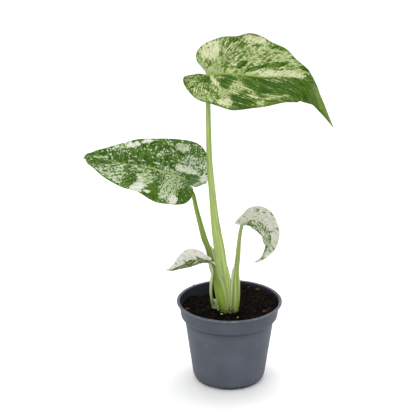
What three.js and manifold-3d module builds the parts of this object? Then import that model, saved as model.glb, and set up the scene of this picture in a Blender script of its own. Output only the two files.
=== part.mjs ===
// A young mint-variegated monstera with four leaves in a 12 cm nursery pot.
// Millimetres, +Z up. The origin is the centre of the pot's foot and -Y is the side that is looked at.
import * as THREE from "three";
import { mergeVertices } from "three/addons/utils/BufferGeometryUtils.js";
import Module from "manifold-3d";

const wasm = await Module();
wasm.setup();

// Clearance between pieces that touch.
const GAP = 0.3;
const CUT_GAP = 0.35;

// Pot: a thin thermoformed shell with a turned-out rim, a collar to stack it by and a raised floor.
const POT_HEIGHT = 94.5;
const RIM_RADIUS = 59.5;
const RIM_THICKNESS = 1.4;
const WALL = 1.2;
const COLLAR_TOP_RADIUS = 56.7;
const COLLAR_FOOT_RADIUS = 54.7;
const COLLAR_FOOT_Z = 77.3;
const SHOULDER_RADIUS = 50.4;
const SHOULDER_Z = 73.2;
const HEEL_RADIUS = 41.3;
const HEEL_Z = 3.8;
const HEEL_BEND = [
  [39.9, 0.8],
  [41, 2.2],
];
const INNER_HEEL_BEND = [39.3, 2.6];
const FOOT_OUTER_RADIUS = 37.8;
const FOOT_INNER_RADIUS = 33;
const CHANNEL_OUTER_RADIUS = 30.5;
const CHANNEL_INNER_RADIUS = 18.5;
const PAD_RADIUS = 16;
const CHANNEL_RISE = 3;
// How far the rim's edge is rounded, and how far the inner bends lie past the outer ones.
const RIM_ROUND = 0.5;
const BEND_RISE = 0.4;
const BEND_STEP = 0.6;
const POT_SEGMENTS = 44;

// Drainage notches through the foot ring: four wide and four narrow, in turn.
const NOTCH_FIRST_DEG = -26;
const NOTCH_STEP_DEG = 45;
const NOTCH_COUNT = 8;
const NOTCH_WIDTHS = [14, 8];
const NOTCH_HEIGHT = 3.4;
const NOTCH_CORNER = 1.6;
const NOTCH_INNER_RADIUS = 31.8;
const NOTCH_LENGTH = 12;

// Soil: its top lies some way under the rim, higher on the right and sunk at the back left.
const SOIL_LEVEL = 87.4;
const SOIL_SWELLS = [
  { x: 46, y: 10, spread: 32, rise: 4.2 },
  { x: 17, y: 50, spread: 17, rise: 4 },
  { x: -27, y: 47, spread: 22, rise: -7 },
  { x: -54, y: 8, spread: 20, rise: -2.4 },
  { x: 2, y: -18, spread: 15, rise: 0.8 },
];
const SOIL_RIPPLES = [
  { across: 0.21, along: 0.13, turn: 0.4, rise: 0.55 },
  { across: -0.12, along: 0.27, turn: 1.9, rise: 0.45 },
  { across: 0.39, along: -0.33, turn: 3.1, rise: 0.3 },
];
const SOIL_RINGS = 8;
const SOIL_SECTORS = 32;

// Crown: the short stem under the soil that the leaf stalks spring from, with its roots.
const CROWN_TOP_Z = 79;
const CROWN_PATH = [
  [-1, -17, CROWN_TOP_Z],
  [0, -15, 72],
  [2, -12, 62],
  [3, -9, 52],
  [3, -8, 47],
];
const CROWN_SIZES = [
  [9.5, 7.5],
  [9.5, 8],
  [8, 7.5],
  [6, 6],
  [3, 3],
];
const ROOT_COUNT = 6;
const ROOT_START = [1, -13, 68];
const ROOT_STEP_Z = 2.6;
const ROOT_REACH = 27;
const ROOT_DROP = 40;
// How much of its reach and of its drop a root may lack.
const REACH_SPREAD = 0.25;
const DROP_SPREAD = 0.3;
// The share of its reach and of its drop that a root has made at each point of its path, and its girth.
const ROOT_COURSE = [
  { out: 0, down: 0, girth: 1.9 },
  { out: 0.4, down: 0.06, girth: 1.8 },
  { out: 0.72, down: 0.3, girth: 1.7 },
  { out: 0.9, down: 0.62, girth: 1.5 },
  { out: 1, down: 1, girth: 0.8 },
];
const ROOT_SEED = 11;

// Leaf stalks. Each has a path, and at each of its points half its width from side to side and from
// front to back. The lower parts are sheaths, which lie against each other.
const TALL_STALK = {
  path: [
    [-2, -18, 80],
    [-3.5, -18, 91],
    [-5.5, -17.5, 107],
    [-8.5, -16.5, 133],
    [-11.5, -15.5, 160.5],
    [-14.5, -14.5, 180.5],
    [-17, -13.5, 200.5],
    [-19.5, -12, 227.5],
    [-22.5, -9.5, 260.5],
    [-23.5, -6, 293.5],
    [-24, -2.5, 322.5],
    [-24.5, 0, 340.5],
    [-22.5, 3, 355],
  ],
  sizes: [
    [6, 5.2],
    [6.4, 5.8],
    [6.9, 6],
    [6.8, 5.4],
    [6, 4.8],
    [5.3, 4.4],
    [4.5, 3.9],
    [3.7, 3.4],
    [3.1, 3],
    [2.7, 2.7],
    [2.5, 2.5],
    [2.5, 2.5],
    [2.7, 2.7],
  ],
};
const LEFT_STALK = {
  path: [
    [-5, -21, 80],
    [-6, -21, 91],
    [-8, -21, 99],
    [-10, -20.5, 108],
    [-13, -19, 122],
    [-16, -17.5, 133],
    [-19.5, -16, 146],
    [-22, -14, 157.5],
    [-26.5, -12, 165.5],
    [-28.5, -11.5, 173.5],
    [-34.5, -9.5, 193.5],
    [-38, -8.5, 207.5],
    [-41, -7, 222.5],
    [-46.5, -4.5, 230.5],
    [-51.8, -5.6, 242],
  ],
  sizes: [
    [4.6, 4.4],
    [5, 4.8],
    [5.4, 5],
    [5.7, 5],
    [5.2, 4.8],
    [4.6, 4.4],
    [4.6, 4],
    [5, 3.4],
    [3.6, 3],
    [3.3, 2.8],
    [2.8, 2.6],
    [2.5, 2.4],
    [2.3, 2.2],
    [2.2, 2.1],
    [2.3, 2.2],
  ],
};
const RIGHT_STALK = {
  path: [
    [5.5, -19, 80],
    [5.5, -18.5, 91],
    [6.5, -18, 106],
    [6.5, -16.5, 121],
    [6.5, -15.5, 131],
    [7.5, -14, 138.5],
    [9, -13, 153.5],
    [10, -12.5, 168.5],
    [11.5, -12, 181.5],
    [14, -12.5, 192],
  ],
  sizes: [
    [4.2, 4],
    [4.6, 4.6],
    [5, 4.8],
    [5, 4.2],
    [4.2, 3.2],
    [3, 2.6],
    [2.6, 2.4],
    [2.2, 2.1],
    [2, 1.9],
    [1.9, 1.8],
  ],
};
const LOW_LEFT_STALK = {
  path: [
    [-9.5, -15, 75.5],
    [-14.5, -10, 81.5],
    [-18, -7, 88.5],
    [-19.5, -11.5, 97.5],
    [-21, -18, 113],
    [-20.5, -23, 128],
    [-19.5, -25.5, 139],
    [-21, -26, 146],
    [-24, -25.2, 153.2],
  ],
  sizes: [
    [2, 2],
    [2, 2],
    [1.9, 1.9],
    [1.7, 1.7],
    [1.5, 1.5],
    [1.4, 1.4],
    [1.3, 1.3],
    [1.3, 1.3],
    [1.3, 1.3],
  ],
};
// The membrane at the foot of the low left stalk, arching over towards the bundle.
const LOW_LEFT_FLAP = {
  path: [
    [-19.5, -11, 96.5],
    [-16.5, -12, 99],
    [-14, -13, 97],
    [-12.5, -13.5, 91.5],
    [-12, -14, 84.5],
  ],
  sizes: [
    [1.2, 0.5],
    [1.3, 0.6],
    [1.3, 0.6],
    [1.2, 0.6],
    [1, 0.6],
  ],
};
const STALK_SIDES = 14;
const SMALL_STALK_SIDES = 10;
// Clearance round the line where a blade's two lobes meet its stalk.
const SLIT_RADIUS = 1.8;
const SLIT_REACH = 4;
const ROOT_SIDES = 5;

// Leaf blades. The midrib runs from the stalk to the tip. Across points from the midrib to the left
// margin, at the base and at the tip. Fold is how far each half rises from flat, in degrees, at the base
// and at the tip, and it changes between the two shares of the length. Curl is the further turn for each
// 10 mm from the midrib. Each half's outline goes round from the stalk to the tip: how far along the
// midrib, and how far across from it. The waves rise to wave.height at the margin.
const TALL_BLADE = {
  midrib: [
    [-25.5, 4, 352.5],
    [-9.5, 1, 354.5],
    [8.5, -2, 354.5],
    [34, -6, 352.5],
    [58, -9, 353.5],
    [75.5, -11, 351.5],
    [84, -10, 345],
    [89.5, -6, 334.5],
    [94, -2, 322.5],
    [101, 2, 311],
    [111.5, 8, 294],
  ],
  across: { base: [0.12, 0.86, 0.51], tip: [0.12, 0.86, 0.51] },
  fold: { left: [8, 0], right: [-1, -10], from: 0.42, to: 0.72 },
  curl: { left: 0.5, right: -0.5 },
  lobeRise: 0.01,
  wave: { height: 2.2, count: 4.5, turn: 0.6 },
  left: [
    [0, 0],
    [-2.5, 5.5],
    [-7, 12.5],
    [-12, 20],
    [-12, 31],
    [-4, 44.8],
    [12, 51],
    [27, 49.8],
    [41, 56],
    [61, 51.8],
    [80, 40.2],
    [93, 23.5],
    [106, 16.5],
    [120, 16],
    [138, 13],
    [156, 7],
  ],
  right: [
    [0, 0],
    [-5, -1.2],
    [-11, -2],
    [-17, 0],
    [-22.5, 7],
    [-21.5, 17.5],
    [-11.5, 30],
    [3, 40.2],
    [18, 48.8],
    [36, 51],
    [58, 44.2],
    [80, 38.6],
    [100, 32.5],
    [116, 26],
    [132, 15],
    [150, 5.5],
  ],
  thickness: 0.9,
  rib: { depth: 2.4, width: 2 },
  columns: 5,
};
const LEFT_BLADE = {
  midrib: [
    [-49.5, -5, 239.5],
    [-68.5, -2.5, 246],
    [-91.5, -0.5, 252],
    [-115.5, 2.5, 255],
    [-139.5, 7, 259],
    [-150.5, 8, 261],
    [-156.5, 9, 261.5],
    [-160.5, 10, 258],
  ],
  across: { base: [-0.1, -0.88, -0.47], tip: [-0.1, -0.88, -0.47] },
  fold: { left: [4, 4], right: [4, 4], from: 0, to: 1 },
  curl: { left: 0, right: 0 },
  lobeRise: 0.01,
  wave: { height: 1.2, count: 4.5, turn: 2.1 },
  left: [
    [0, 0],
    [-5.5, 5],
    [-11.5, 10.8],
    [-14, 17],
    [-14, 28],
    [-9, 39],
    [2, 45.5],
    [16, 48.4],
    [31, 46.8],
    [43, 42.8],
    [58, 39],
    [72, 32],
    [85, 26.5],
    [97, 19.5],
    [105, 13],
    [111, 6],
  ],
  right: [
    [0, 0],
    [-5, -3.1],
    [-10.5, -6.4],
    [-15, -6.2],
    [-20, -3.6],
    [-24.5, 4],
    [-23.5, 19],
    [-16, 37],
    [-5, 51],
    [9, 55.2],
    [26, 50],
    [46, 41],
    [66, 34.6],
    [82, 26],
    [97, 13.5],
    [108, 4.5],
  ],
  thickness: 0.9,
  rib: { depth: 2, width: 1.9 },
  columns: 5,
};
const LOW_LEFT_BLADE = {
  midrib: [
    [-22.5, -24.5, 152],
    [-30.5, -24.5, 153],
    [-37.5, -24.5, 152],
    [-46.5, -24.5, 149],
    [-54.5, -25, 146],
    [-63.5, -25, 142],
    [-71.5, -25, 141],
  ],
  across: { base: [0, -0.89, -0.47], tip: [0, -0.89, -0.47] },
  fold: { left: [36, 30], right: [27, 24], from: 0, to: 1 },
  curl: { left: -1, right: 1 },
  lobeRise: 0.02,
  wave: { height: 0.5, count: 3, turn: 0.3 },
  left: [
    [0, 0],
    [-2, 1.6],
    [-3.4, 4],
    [-2.4, 7.2],
    [1.4, 10.4],
    [7, 13.4],
    [14, 15.4],
    [21, 15.6],
    [28, 13.4],
    [34, 9.6],
    [40, 5.2],
    [45, 2.4],
  ],
  right: [
    [0, 0],
    [-1.6, 1],
    [-2, 2.4],
    [-0.4, 3.8],
    [2.6, 5],
    [6.4, 7.4],
    [11, 11.4],
    [16.5, 14.8],
    [23, 15],
    [30, 12],
    [37, 7.6],
    [44, 3],
  ],
  thickness: 0.8,
  rib: { depth: 0.8, width: 1.1 },
  columns: 4,
};
const RIGHT_BLADE = {
  midrib: [
    [12.5, -11.5, 189.5],
    [19.5, -13.5, 194.5],
    [26.5, -15, 196],
    [33.5, -17.5, 194],
    [39.5, -19.5, 189],
    [43.5, -21.5, 184],
    [44.5, -24, 177],
    [43.5, -26, 170],
    [39.5, -28.5, 163],
    [33.5, -29.5, 156],
    [25.5, -30.5, 151.5],
  ],
  across: { base: [0.1, 0.77, 0.63], tip: [0.85, 0.18, -0.51] },
  fold: { left: [8, 8], right: [8, 8], from: 0, to: 1 },
  curl: { left: 0, right: 0 },
  lobeRise: 0.02,
  wave: { height: 0.6, count: 3.5, turn: 1.2 },
  left: [
    [0, 0],
    [-3.6, 1.6],
    [-7, 4.6],
    [-4, 7.4],
    [0, 10],
    [6, 12.8],
    [13, 16.4],
    [21, 19],
    [30, 18],
    [40, 12.4],
    [51, 8.6],
    [66, 4],
  ],
  right: [
    [0, 0],
    [-1.8, 0.9],
    [-2.4, 2.4],
    [-0.4, 3.8],
    [3.6, 5.2],
    [9, 8.4],
    [16, 12.6],
    [25, 15.8],
    [36, 16.6],
    [48, 13],
    [58, 6.4],
    [68, 2.6],
  ],
  thickness: 0.8,
  rib: { depth: 1, width: 1.2 },
  columns: 4,
};
// Side veins leave the midrib this share of the half width before they reach the margin, at stations at
// least a step apart, and bend forwards as they go.
const VEIN_SLANT = 0.75;
const VEIN_STEP = 0.004;
const VEIN_LAG = 0.25;
const VEIN_LEAD = 0.15;
// The rib takes up to this share of a half's width, tapers towards the tip, and the margin is thinner.
const RIB_SHARE = 0.3;
const RIB_TAPER = 0.8;
const RIB_LEAD = 4;
const MARGIN_THINNING = 0.25;
const ROWS_PER_SPAN = 2;

// Pale grains and bark bits that lie sunk in the top of the soil.
const GRAINS = [
  { name: "grain_1", x: -8.9, y: -26.5, radius: 1.4, squash: 0.8, turn: 20 },
  { name: "grain_2", x: 9, y: -31.5, radius: 1.2, squash: 0.9, turn: 65 },
  { name: "grain_3", x: 23.5, y: 45, radius: 1.2, squash: 0.7, turn: 10 },
];
const BARK = [
  { name: "bark_1", x: -47.5, y: -8.5, radius: 2.2, squash: 0.45, turn: 35 },
  { name: "bark_2", x: 33.5, y: 38, radius: 2, squash: 0.5, turn: 150 },
  { name: "bark_3", x: 39, y: -19, radius: 2.1, squash: 0.4, turn: 80 },
];
const BIT_LENGTHEN = 1.35;
const BIT_SUNK = 0.35;

const COLOURS = {
  pot: 0x5c606a,
  soil: 0x14120e,
  crown: 0x9a8a5c,
  tallStalk: 0x9caf64,
  leftStalk: 0x78a032,
  smallStalk: 0xa8bf7c,
  tallBlade: 0x8fae6a,
  leftBlade: 0x5f8c3c,
  smallBlade: 0xd6dcc4,
  grain: 0xd8d2c0,
  bark: 0x5a3c22,
};

function material(colour, roughness) {
  return new THREE.MeshStandardMaterial({ color: colour, roughness, metalness: 0 });
}

// A closed geometry as a solid.
function solidOf(geometry) {
  const bare = geometry.index ? geometry.toNonIndexed() : geometry.clone();
  for (const name of Object.keys(bare.attributes)) {
    if (name !== "position") bare.deleteAttribute(name);
  }
  const merged = mergeVertices(bare, 1e-3);
  return new wasm.Manifold(
    new wasm.Mesh({
      numProp: 3,
      vertProperties: new Float32Array(merged.attributes.position.array),
      triVerts: new Uint32Array(merged.index.array),
    }),
  );
}

// The largest body of a solid that a cut has left in several.
function largestOf(solid) {
  return solid.decompose().reduce((most, body) => (body.volume() > most.volume() ? body : most));
}

function geometryOf(solid) {
  const { vertProperties, triVerts, numProp, numVert } = solid.getMesh();
  const positions = new Float32Array(numVert * 3);
  for (let i = 0; i < numVert; i++) {
    positions.set(vertProperties.subarray(i * numProp, i * numProp + 3), i * 3);
  }
  const geometry = new THREE.BufferGeometry();
  geometry.setAttribute("position", new THREE.BufferAttribute(positions, 3));
  geometry.setIndex(new THREE.BufferAttribute(new Uint32Array(triVerts), 1));
  geometry.computeVertexNormals();
  return geometry;
}

function meshOf(name, solid, colour, roughness) {
  const mesh = new THREE.Mesh(geometryOf(solid), material(colour, roughness));
  mesh.name = name;
  return mesh;
}

function indexedGeometry(points, triangles) {
  const geometry = new THREE.BufferGeometry();
  geometry.setAttribute("position", new THREE.Float32BufferAttribute(points.flatMap((p) => p.toArray()), 3));
  geometry.setIndex(triangles);
  return geometry;
}

// Repeatable draws from 0 to 1.
function drawsFrom(seed) {
  let state = seed;
  return () => {
    state = (state * 16807) % 2147483647;
    return state / 2147483647;
  };
}

// Pot

function potOutside() {
  return [
    [0, 0],
    [PAD_RADIUS, 0],
    [CHANNEL_INNER_RADIUS, CHANNEL_RISE],
    [CHANNEL_OUTER_RADIUS, CHANNEL_RISE],
    [FOOT_INNER_RADIUS, 0],
    [FOOT_OUTER_RADIUS, 0],
    ...HEEL_BEND,
    [HEEL_RADIUS, HEEL_Z],
    [SHOULDER_RADIUS, SHOULDER_Z],
    [COLLAR_FOOT_RADIUS, COLLAR_FOOT_Z],
    [COLLAR_TOP_RADIUS, POT_HEIGHT - RIM_THICKNESS],
    [RIM_RADIUS - RIM_ROUND, POT_HEIGHT - RIM_THICKNESS],
    [RIM_RADIUS, POT_HEIGHT - RIM_THICKNESS + RIM_ROUND],
    [RIM_RADIUS, POT_HEIGHT - RIM_ROUND],
    [RIM_RADIUS - RIM_ROUND, POT_HEIGHT],
  ];
}

// From the rim down to the middle of the floor.
function potInside() {
  return [
    [COLLAR_TOP_RADIUS - BEND_RISE, POT_HEIGHT],
    [COLLAR_TOP_RADIUS - WALL, POT_HEIGHT - WALL + BEND_RISE],
    [COLLAR_FOOT_RADIUS - WALL, COLLAR_FOOT_Z + BEND_RISE],
    [SHOULDER_RADIUS - WALL, SHOULDER_Z + BEND_RISE],
    [HEEL_RADIUS - WALL, HEEL_Z + BEND_RISE],
    INNER_HEEL_BEND,
    [FOOT_OUTER_RADIUS, WALL],
    [FOOT_INNER_RADIUS + BEND_STEP, WALL],
    [CHANNEL_OUTER_RADIUS + BEND_STEP, CHANNEL_RISE + WALL],
    [CHANNEL_INNER_RADIUS - BEND_STEP, CHANNEL_RISE + WALL],
    [PAD_RADIUS - BEND_STEP, WALL],
    [0, WALL],
  ];
}

// The wall's inner radius at a height in the collar or the body.
function potInnerRadius(z) {
  const stations = potInside().slice(1, 5);
  for (let i = 1; i < stations.length; i++) {
    const [upperRadius, upperZ] = stations[i - 1];
    const [lowerRadius, lowerZ] = stations[i];
    if (z >= lowerZ) {
      return lowerRadius + ((upperRadius - lowerRadius) * (z - lowerZ)) / (upperZ - lowerZ);
    }
  }
  return stations.at(-1)[0];
}

function notchCutter(width) {
  const half = width / 2;
  const top = NOTCH_HEIGHT;
  const arch = new THREE.Shape();
  arch.moveTo(-half, -1);
  arch.lineTo(half, -1);
  arch.lineTo(half, top - NOTCH_CORNER);
  arch.quadraticCurveTo(half, top, half - NOTCH_CORNER, top);
  arch.lineTo(NOTCH_CORNER - half, top);
  arch.quadraticCurveTo(-half, top, -half, top - NOTCH_CORNER);
  arch.closePath();
  const geometry = new THREE.ExtrudeGeometry(arch, { depth: NOTCH_LENGTH, bevelEnabled: false, curveSegments: 2 });
  // The shape's own plane stands up, and the extrusion runs outwards along -Y.
  return geometry.rotateX(Math.PI / 2).translate(0, -NOTCH_INNER_RADIUS, 0);
}

function pot() {
  const profile = [...potOutside(), ...potInside()].map(([r, z]) => new THREE.Vector2(r, z));
  const shell = new THREE.LatheGeometry(profile, POT_SEGMENTS).rotateX(Math.PI / 2);
  let solid = solidOf(shell);
  for (let i = 0; i < NOTCH_COUNT; i++) {
    const turn = THREE.MathUtils.degToRad(NOTCH_FIRST_DEG + i * NOTCH_STEP_DEG);
    const cutter = notchCutter(NOTCH_WIDTHS[i % NOTCH_WIDTHS.length]).rotateZ(turn);
    solid = solid.subtract(solidOf(cutter));
  }
  return solid;
}

// Soil

function soilTop(x, y) {
  let z = SOIL_LEVEL;
  for (const swell of SOIL_SWELLS) {
    const distance = Math.hypot(x - swell.x, y - swell.y) / swell.spread;
    z += swell.rise * Math.exp(-distance * distance);
  }
  for (const ripple of SOIL_RIPPLES) {
    z += ripple.rise * Math.sin(ripple.across * x + ripple.along * y + ripple.turn);
  }
  return z;
}

// Rings of points from the middle of the top out to the wall, down it and in again along the floor.
function soilRings() {
  const rings = [];
  const angleOf = (sector) => (2 * Math.PI * sector) / SOIL_SECTORS;
  const edgeRadius = potInnerRadius(SOIL_LEVEL) - GAP;
  for (let ring = 1; ring <= SOIL_RINGS; ring++) {
    const points = [];
    for (let sector = 0; sector < SOIL_SECTORS; sector++) {
      const angle = angleOf(sector);
      let radius = (edgeRadius * ring) / SOIL_RINGS;
      const z = soilTop(radius * Math.cos(angle), radius * Math.sin(angle));
      if (ring === SOIL_RINGS) radius = potInnerRadius(z) - GAP;
      points.push(new THREE.Vector3(radius * Math.cos(angle), radius * Math.sin(angle), z));
    }
    rings.push(points);
  }
  // Below its top the soil follows the pot's inside: away from the wall, and from both sides of the channel.
  const floorWays = [-1, -1, -1, -1, -1, 1, 1, -1, -1];
  const lower = potInside()
    .slice(2, -1)
    .map(([radius, z], i) => [radius + GAP * floorWays[i], z + GAP]);
  for (const [radius, z] of lower) {
    rings.push(
      Array.from({ length: SOIL_SECTORS }, (_, sector) => {
        const angle = angleOf(sector);
        return new THREE.Vector3(radius * Math.cos(angle), radius * Math.sin(angle), z);
      }),
    );
  }
  return rings;
}

// A closed solid through rings of equal length, capped at both ends by a point.
function ringSolid(rings, firstPoint, lastPoint) {
  const count = rings[0].length;
  const points = [firstPoint, ...rings.flat(), lastPoint];
  const last = points.length - 1;
  const at = (ring, i) => 1 + ring * count + (i % count);
  const triangles = [];
  for (let i = 0; i < count; i++) {
    triangles.push(0, at(0, i), at(0, i + 1));
    triangles.push(last, at(rings.length - 1, i + 1), at(rings.length - 1, i));
    for (let ring = 0; ring < rings.length - 1; ring++) {
      triangles.push(at(ring, i), at(ring + 1, i), at(ring + 1, i + 1));
      triangles.push(at(ring, i), at(ring + 1, i + 1), at(ring, i + 1));
    }
  }
  return solidOf(indexedGeometry(points, triangles));
}

function soilBody() {
  const top = new THREE.Vector3(0, 0, soilTop(0, 0));
  const bottom = new THREE.Vector3(0, 0, WALL + GAP);
  return ringSolid(soilRings(), top, bottom);
}

// Stalks, crown and roots

function curveThrough(points) {
  const curve = new THREE.CatmullRomCurve3(
    points.map((p) => new THREE.Vector3(...p)),
    false,
    "catmullrom",
    0.5,
  );
  curve.arcLengthDivisions = 400;
  return curve;
}

// A tapering round or oval bar along a path, made larger all round by grow.
function bar({ path, sizes }, sides, grow = 0) {
  const spine = curveThrough(path);
  const girth = curveThrough(sizes.map(([across, deep]) => [across, deep, 0]));
  const steps = path.length - 1;
  const rings = [];
  for (let step = 0; step <= steps; step++) {
    const t = step / steps;
    const centre = spine.getPoint(t);
    const along = spine.getTangent(t);
    if (step === 0) centre.addScaledVector(along, -grow);
    if (step === steps) centre.addScaledVector(along, grow);
    const sideways = new THREE.Vector3(1, 0, 0).addScaledVector(along, -along.x).normalize();
    const forwards = new THREE.Vector3().crossVectors(along, sideways);
    const { x: across, y: deep } = girth.getPoint(t);
    rings.push(
      Array.from({ length: sides }, (_, i) => {
        const angle = (-2 * Math.PI * i) / sides;
        return centre
          .clone()
          .addScaledVector(sideways, (across + grow) * Math.cos(angle))
          .addScaledVector(forwards, (deep + grow) * Math.sin(angle));
      }),
    );
  }
  const middle = (ring) => ring.reduce((sum, p) => sum.add(p), new THREE.Vector3()).divideScalar(ring.length);
  return ringSolid(rings, middle(rings[0]), middle(rings.at(-1)));
}

function crown(grow = 0) {
  const draw = drawsFrom(ROOT_SEED);
  let solid = bar({ path: CROWN_PATH, sizes: CROWN_SIZES }, STALK_SIDES, grow);
  for (let i = 0; i < ROOT_COUNT; i++) {
    const angle = (2 * Math.PI * (i + draw() / 2)) / ROOT_COUNT;
    const reach = ROOT_REACH * (1 - REACH_SPREAD * draw());
    const drop = ROOT_DROP * (1 - DROP_SPREAD * draw());
    const [x, y, z] = ROOT_START;
    const path = ROOT_COURSE.map(({ out, down }) => [
      x + Math.cos(angle) * reach * out,
      y + Math.sin(angle) * reach * out,
      z - ROOT_STEP_Z * i - drop * down,
    ]);
    const sizes = ROOT_COURSE.map(({ girth }) => [girth, girth]);
    solid = solid.add(bar({ path, sizes }, ROOT_SIDES, grow));
  }
  return solid;
}

// Blades

// Where the midrib is, and which way it, the left margin and the upper face point, at a length along it.
function bladeFrame(blade, spine, length, along) {
  const share = THREE.MathUtils.clamp(along / length, 0, 1);
  const point = spine.getPointAt(share);
  const tangent = spine.getTangentAt(share);
  if (along < 0) point.addScaledVector(tangent, along);
  const left = new THREE.Vector3(...blade.across.base).lerp(new THREE.Vector3(...blade.across.tip), share);
  left.addScaledVector(tangent, -left.dot(tangent)).normalize();
  const up = new THREE.Vector3().crossVectors(tangent, left);
  return { point, left, up, share };
}

// A point of the blade's middle surface and the way its upper face looks there.
function bladePoint(blade, spine, length, side, along, across, lift) {
  const { point, left, up, share } = bladeFrame(blade, spine, length, along);
  const name = side > 0 ? "left" : "right";
  const [baseFold, tipFold] = blade.fold[name];
  const turned = THREE.MathUtils.smoothstep(share, blade.fold.from, blade.fold.to);
  const fold = THREE.MathUtils.degToRad(baseFold + (tipFold - baseFold) * turned);
  const curl = THREE.MathUtils.degToRad(blade.curl[name]) / 10 || 1e-6;
  const slope = fold + curl * across;
  const outwards = (Math.sin(slope) - Math.sin(fold)) / curl;
  const upwards = (Math.cos(fold) - Math.cos(slope)) / curl;
  const lobe = along < 0 ? blade.lobeRise * along * along : 0;
  const normal = up
    .clone()
    .multiplyScalar(Math.cos(slope))
    .addScaledVector(left, -side * Math.sin(slope));
  point
    .addScaledVector(left, side * outwards)
    .addScaledVector(up, upwards + lobe)
    .addScaledVector(normal, lift);
  return { point, normal };
}

// The two halves' outlines and the midrib's stations, row by row from the stalk to the tip.
function bladeRows(blade, length) {
  const outline = (half) => new THREE.SplineCurve([...half, [length, 0]].map((p) => new THREE.Vector2(...p)));
  const left = outline(blade.left);
  const right = outline(blade.right);
  const count = blade.left.length * ROWS_PER_SPAN;
  const rows = [];
  let station = 0;
  for (let row = 0; row <= count; row++) {
    const t = row / count;
    const leftEdge = left.getPoint(t);
    const rightEdge = right.getPoint(t);
    const vein = (leftEdge.x + rightEdge.x) / 2 - (VEIN_SLANT * (leftEdge.y + rightEdge.y)) / 2;
    if (row > 0) station = Math.max(station + VEIN_STEP * length, vein);
    if (row === count) station = length;
    rows.push({ t, station, edges: { 1: leftEdge, "-1": rightEdge } });
  }
  return rows;
}

function blade(leaf, grow = 0) {
  const spine = curveThrough(leaf.midrib);
  const length = spine.getLength();
  const rows = bladeRows(leaf, length);
  const columns = leaf.columns;
  const tops = [];
  const bottoms = [];
  const add = (place, thickness, deeper) => {
    tops.push(place.point.clone().addScaledVector(place.normal, thickness / 2 + grow));
    bottoms.push(place.point.clone().addScaledVector(place.normal, -thickness / 2 - deeper - grow));
    return tops.length - 1;
  };
  const grid = rows.map(({ t, station, edges }, row) => {
    const pole = row === 0 || row === rows.length - 1;
    const reachOf = (side) => Math.hypot(edges[side].x - station, edges[side].y);
    // The rib rises just past the stalk and tapers from there, and it fades where a half is too narrow.
    const room = (RIB_SHARE * Math.min(reachOf(1), reachOf(-1))) / leaf.rib.width;
    const depth = leaf.rib.depth * (1 - RIB_TAPER * (station / length)) * Math.min(1, room, station / RIB_LEAD);
    const middle = add(bladePoint(leaf, spine, length, 1, station, 0, 0), leaf.thickness, depth);
    const line = new Map([[0, middle]]);
    for (const side of [1, -1]) {
      const edge = edges[side];
      const reach = reachOf(side);
      const first = Math.min(leaf.rib.width, RIB_SHARE * reach) / Math.max(reach, 1e-6);
      for (let column = 1; column <= columns; column++) {
        if (pole) {
          line.set(side * column, middle);
          continue;
        }
        const b = first + ((1 - first) * (column - 1)) / (columns - 1);
        const wave = leaf.wave.height * b * b * Math.sin(Math.PI * t);
        const lift = wave * Math.sin(2 * Math.PI * leaf.wave.count * t + leaf.wave.turn * (1 + side));
        const along = station + (edge.x - station) * (b - VEIN_LAG * b * (1 - b));
        const across = edge.y * (b + VEIN_LEAD * b * (1 - b));
        const place = bladePoint(leaf, spine, length, side, along, across, lift);
        line.set(side * column, add(place, leaf.thickness * (1 - MARGIN_THINNING * b), 0));
      }
    }
    return line;
  });
  const lower = tops.length;
  const triangles = [];
  const push = (a, b, c) => {
    if (a !== b && b !== c && c !== a) triangles.push(a, b, c);
  };
  for (let row = 0; row + 1 < grid.length; row++) {
    for (let column = -columns; column < columns; column++) {
      const a = grid[row].get(column);
      const b = grid[row].get(column + 1);
      const c = grid[row + 1].get(column + 1);
      const d = grid[row + 1].get(column);
      const quads = column < 0 ? [[a, b, c], [a, c, d]] : [[a, b, d], [b, c, d]];
      for (const [p, q, r] of quads) {
        push(p, r, q);
        push(p + lower, q + lower, r + lower);
      }
    }
    for (const side of [-1, 1]) {
      const a = grid[row].get(side * columns);
      const b = grid[row + 1].get(side * columns);
      const [p, q] = side > 0 ? [a, b] : [b, a];
      if (p === q) continue;
      push(p, q, q + lower);
      push(p, q + lower, p + lower);
    }
  }
  return solidOf(indexedGeometry([...tops, ...bottoms], triangles));
}

// The part of a stalk that lies under the blade it carries, cleared of the slit between the blade's lobes.
function under(stalk, leaf) {
  const spine = curveThrough(leaf.midrib);
  const at = (along) => spine.getPointAt(0).addScaledVector(spine.getTangentAt(0), along).toArray();
  const size = [SLIT_RADIUS, SLIT_RADIUS];
  const slit = bar({ path: [at(-SLIT_REACH), at(0), at(SLIT_REACH)], sizes: [size, size, size] }, SMALL_STALK_SIDES);
  return largestOf(stalk.subtract(blade(leaf, CUT_GAP)).subtract(slit));
}

// Bits in the soil's top

function bit({ x, y, radius, squash, turn }, grow = 0) {
  const lump = new THREE.IcosahedronGeometry(1, 1);
  lump.scale(radius * BIT_LENGTHEN + grow, radius + grow, radius * squash + grow);
  lump.rotateZ(THREE.MathUtils.degToRad(turn));
  return solidOf(lump.translate(x, y, soilTop(x, y) + radius * squash * BIT_SUNK));
}

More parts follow.
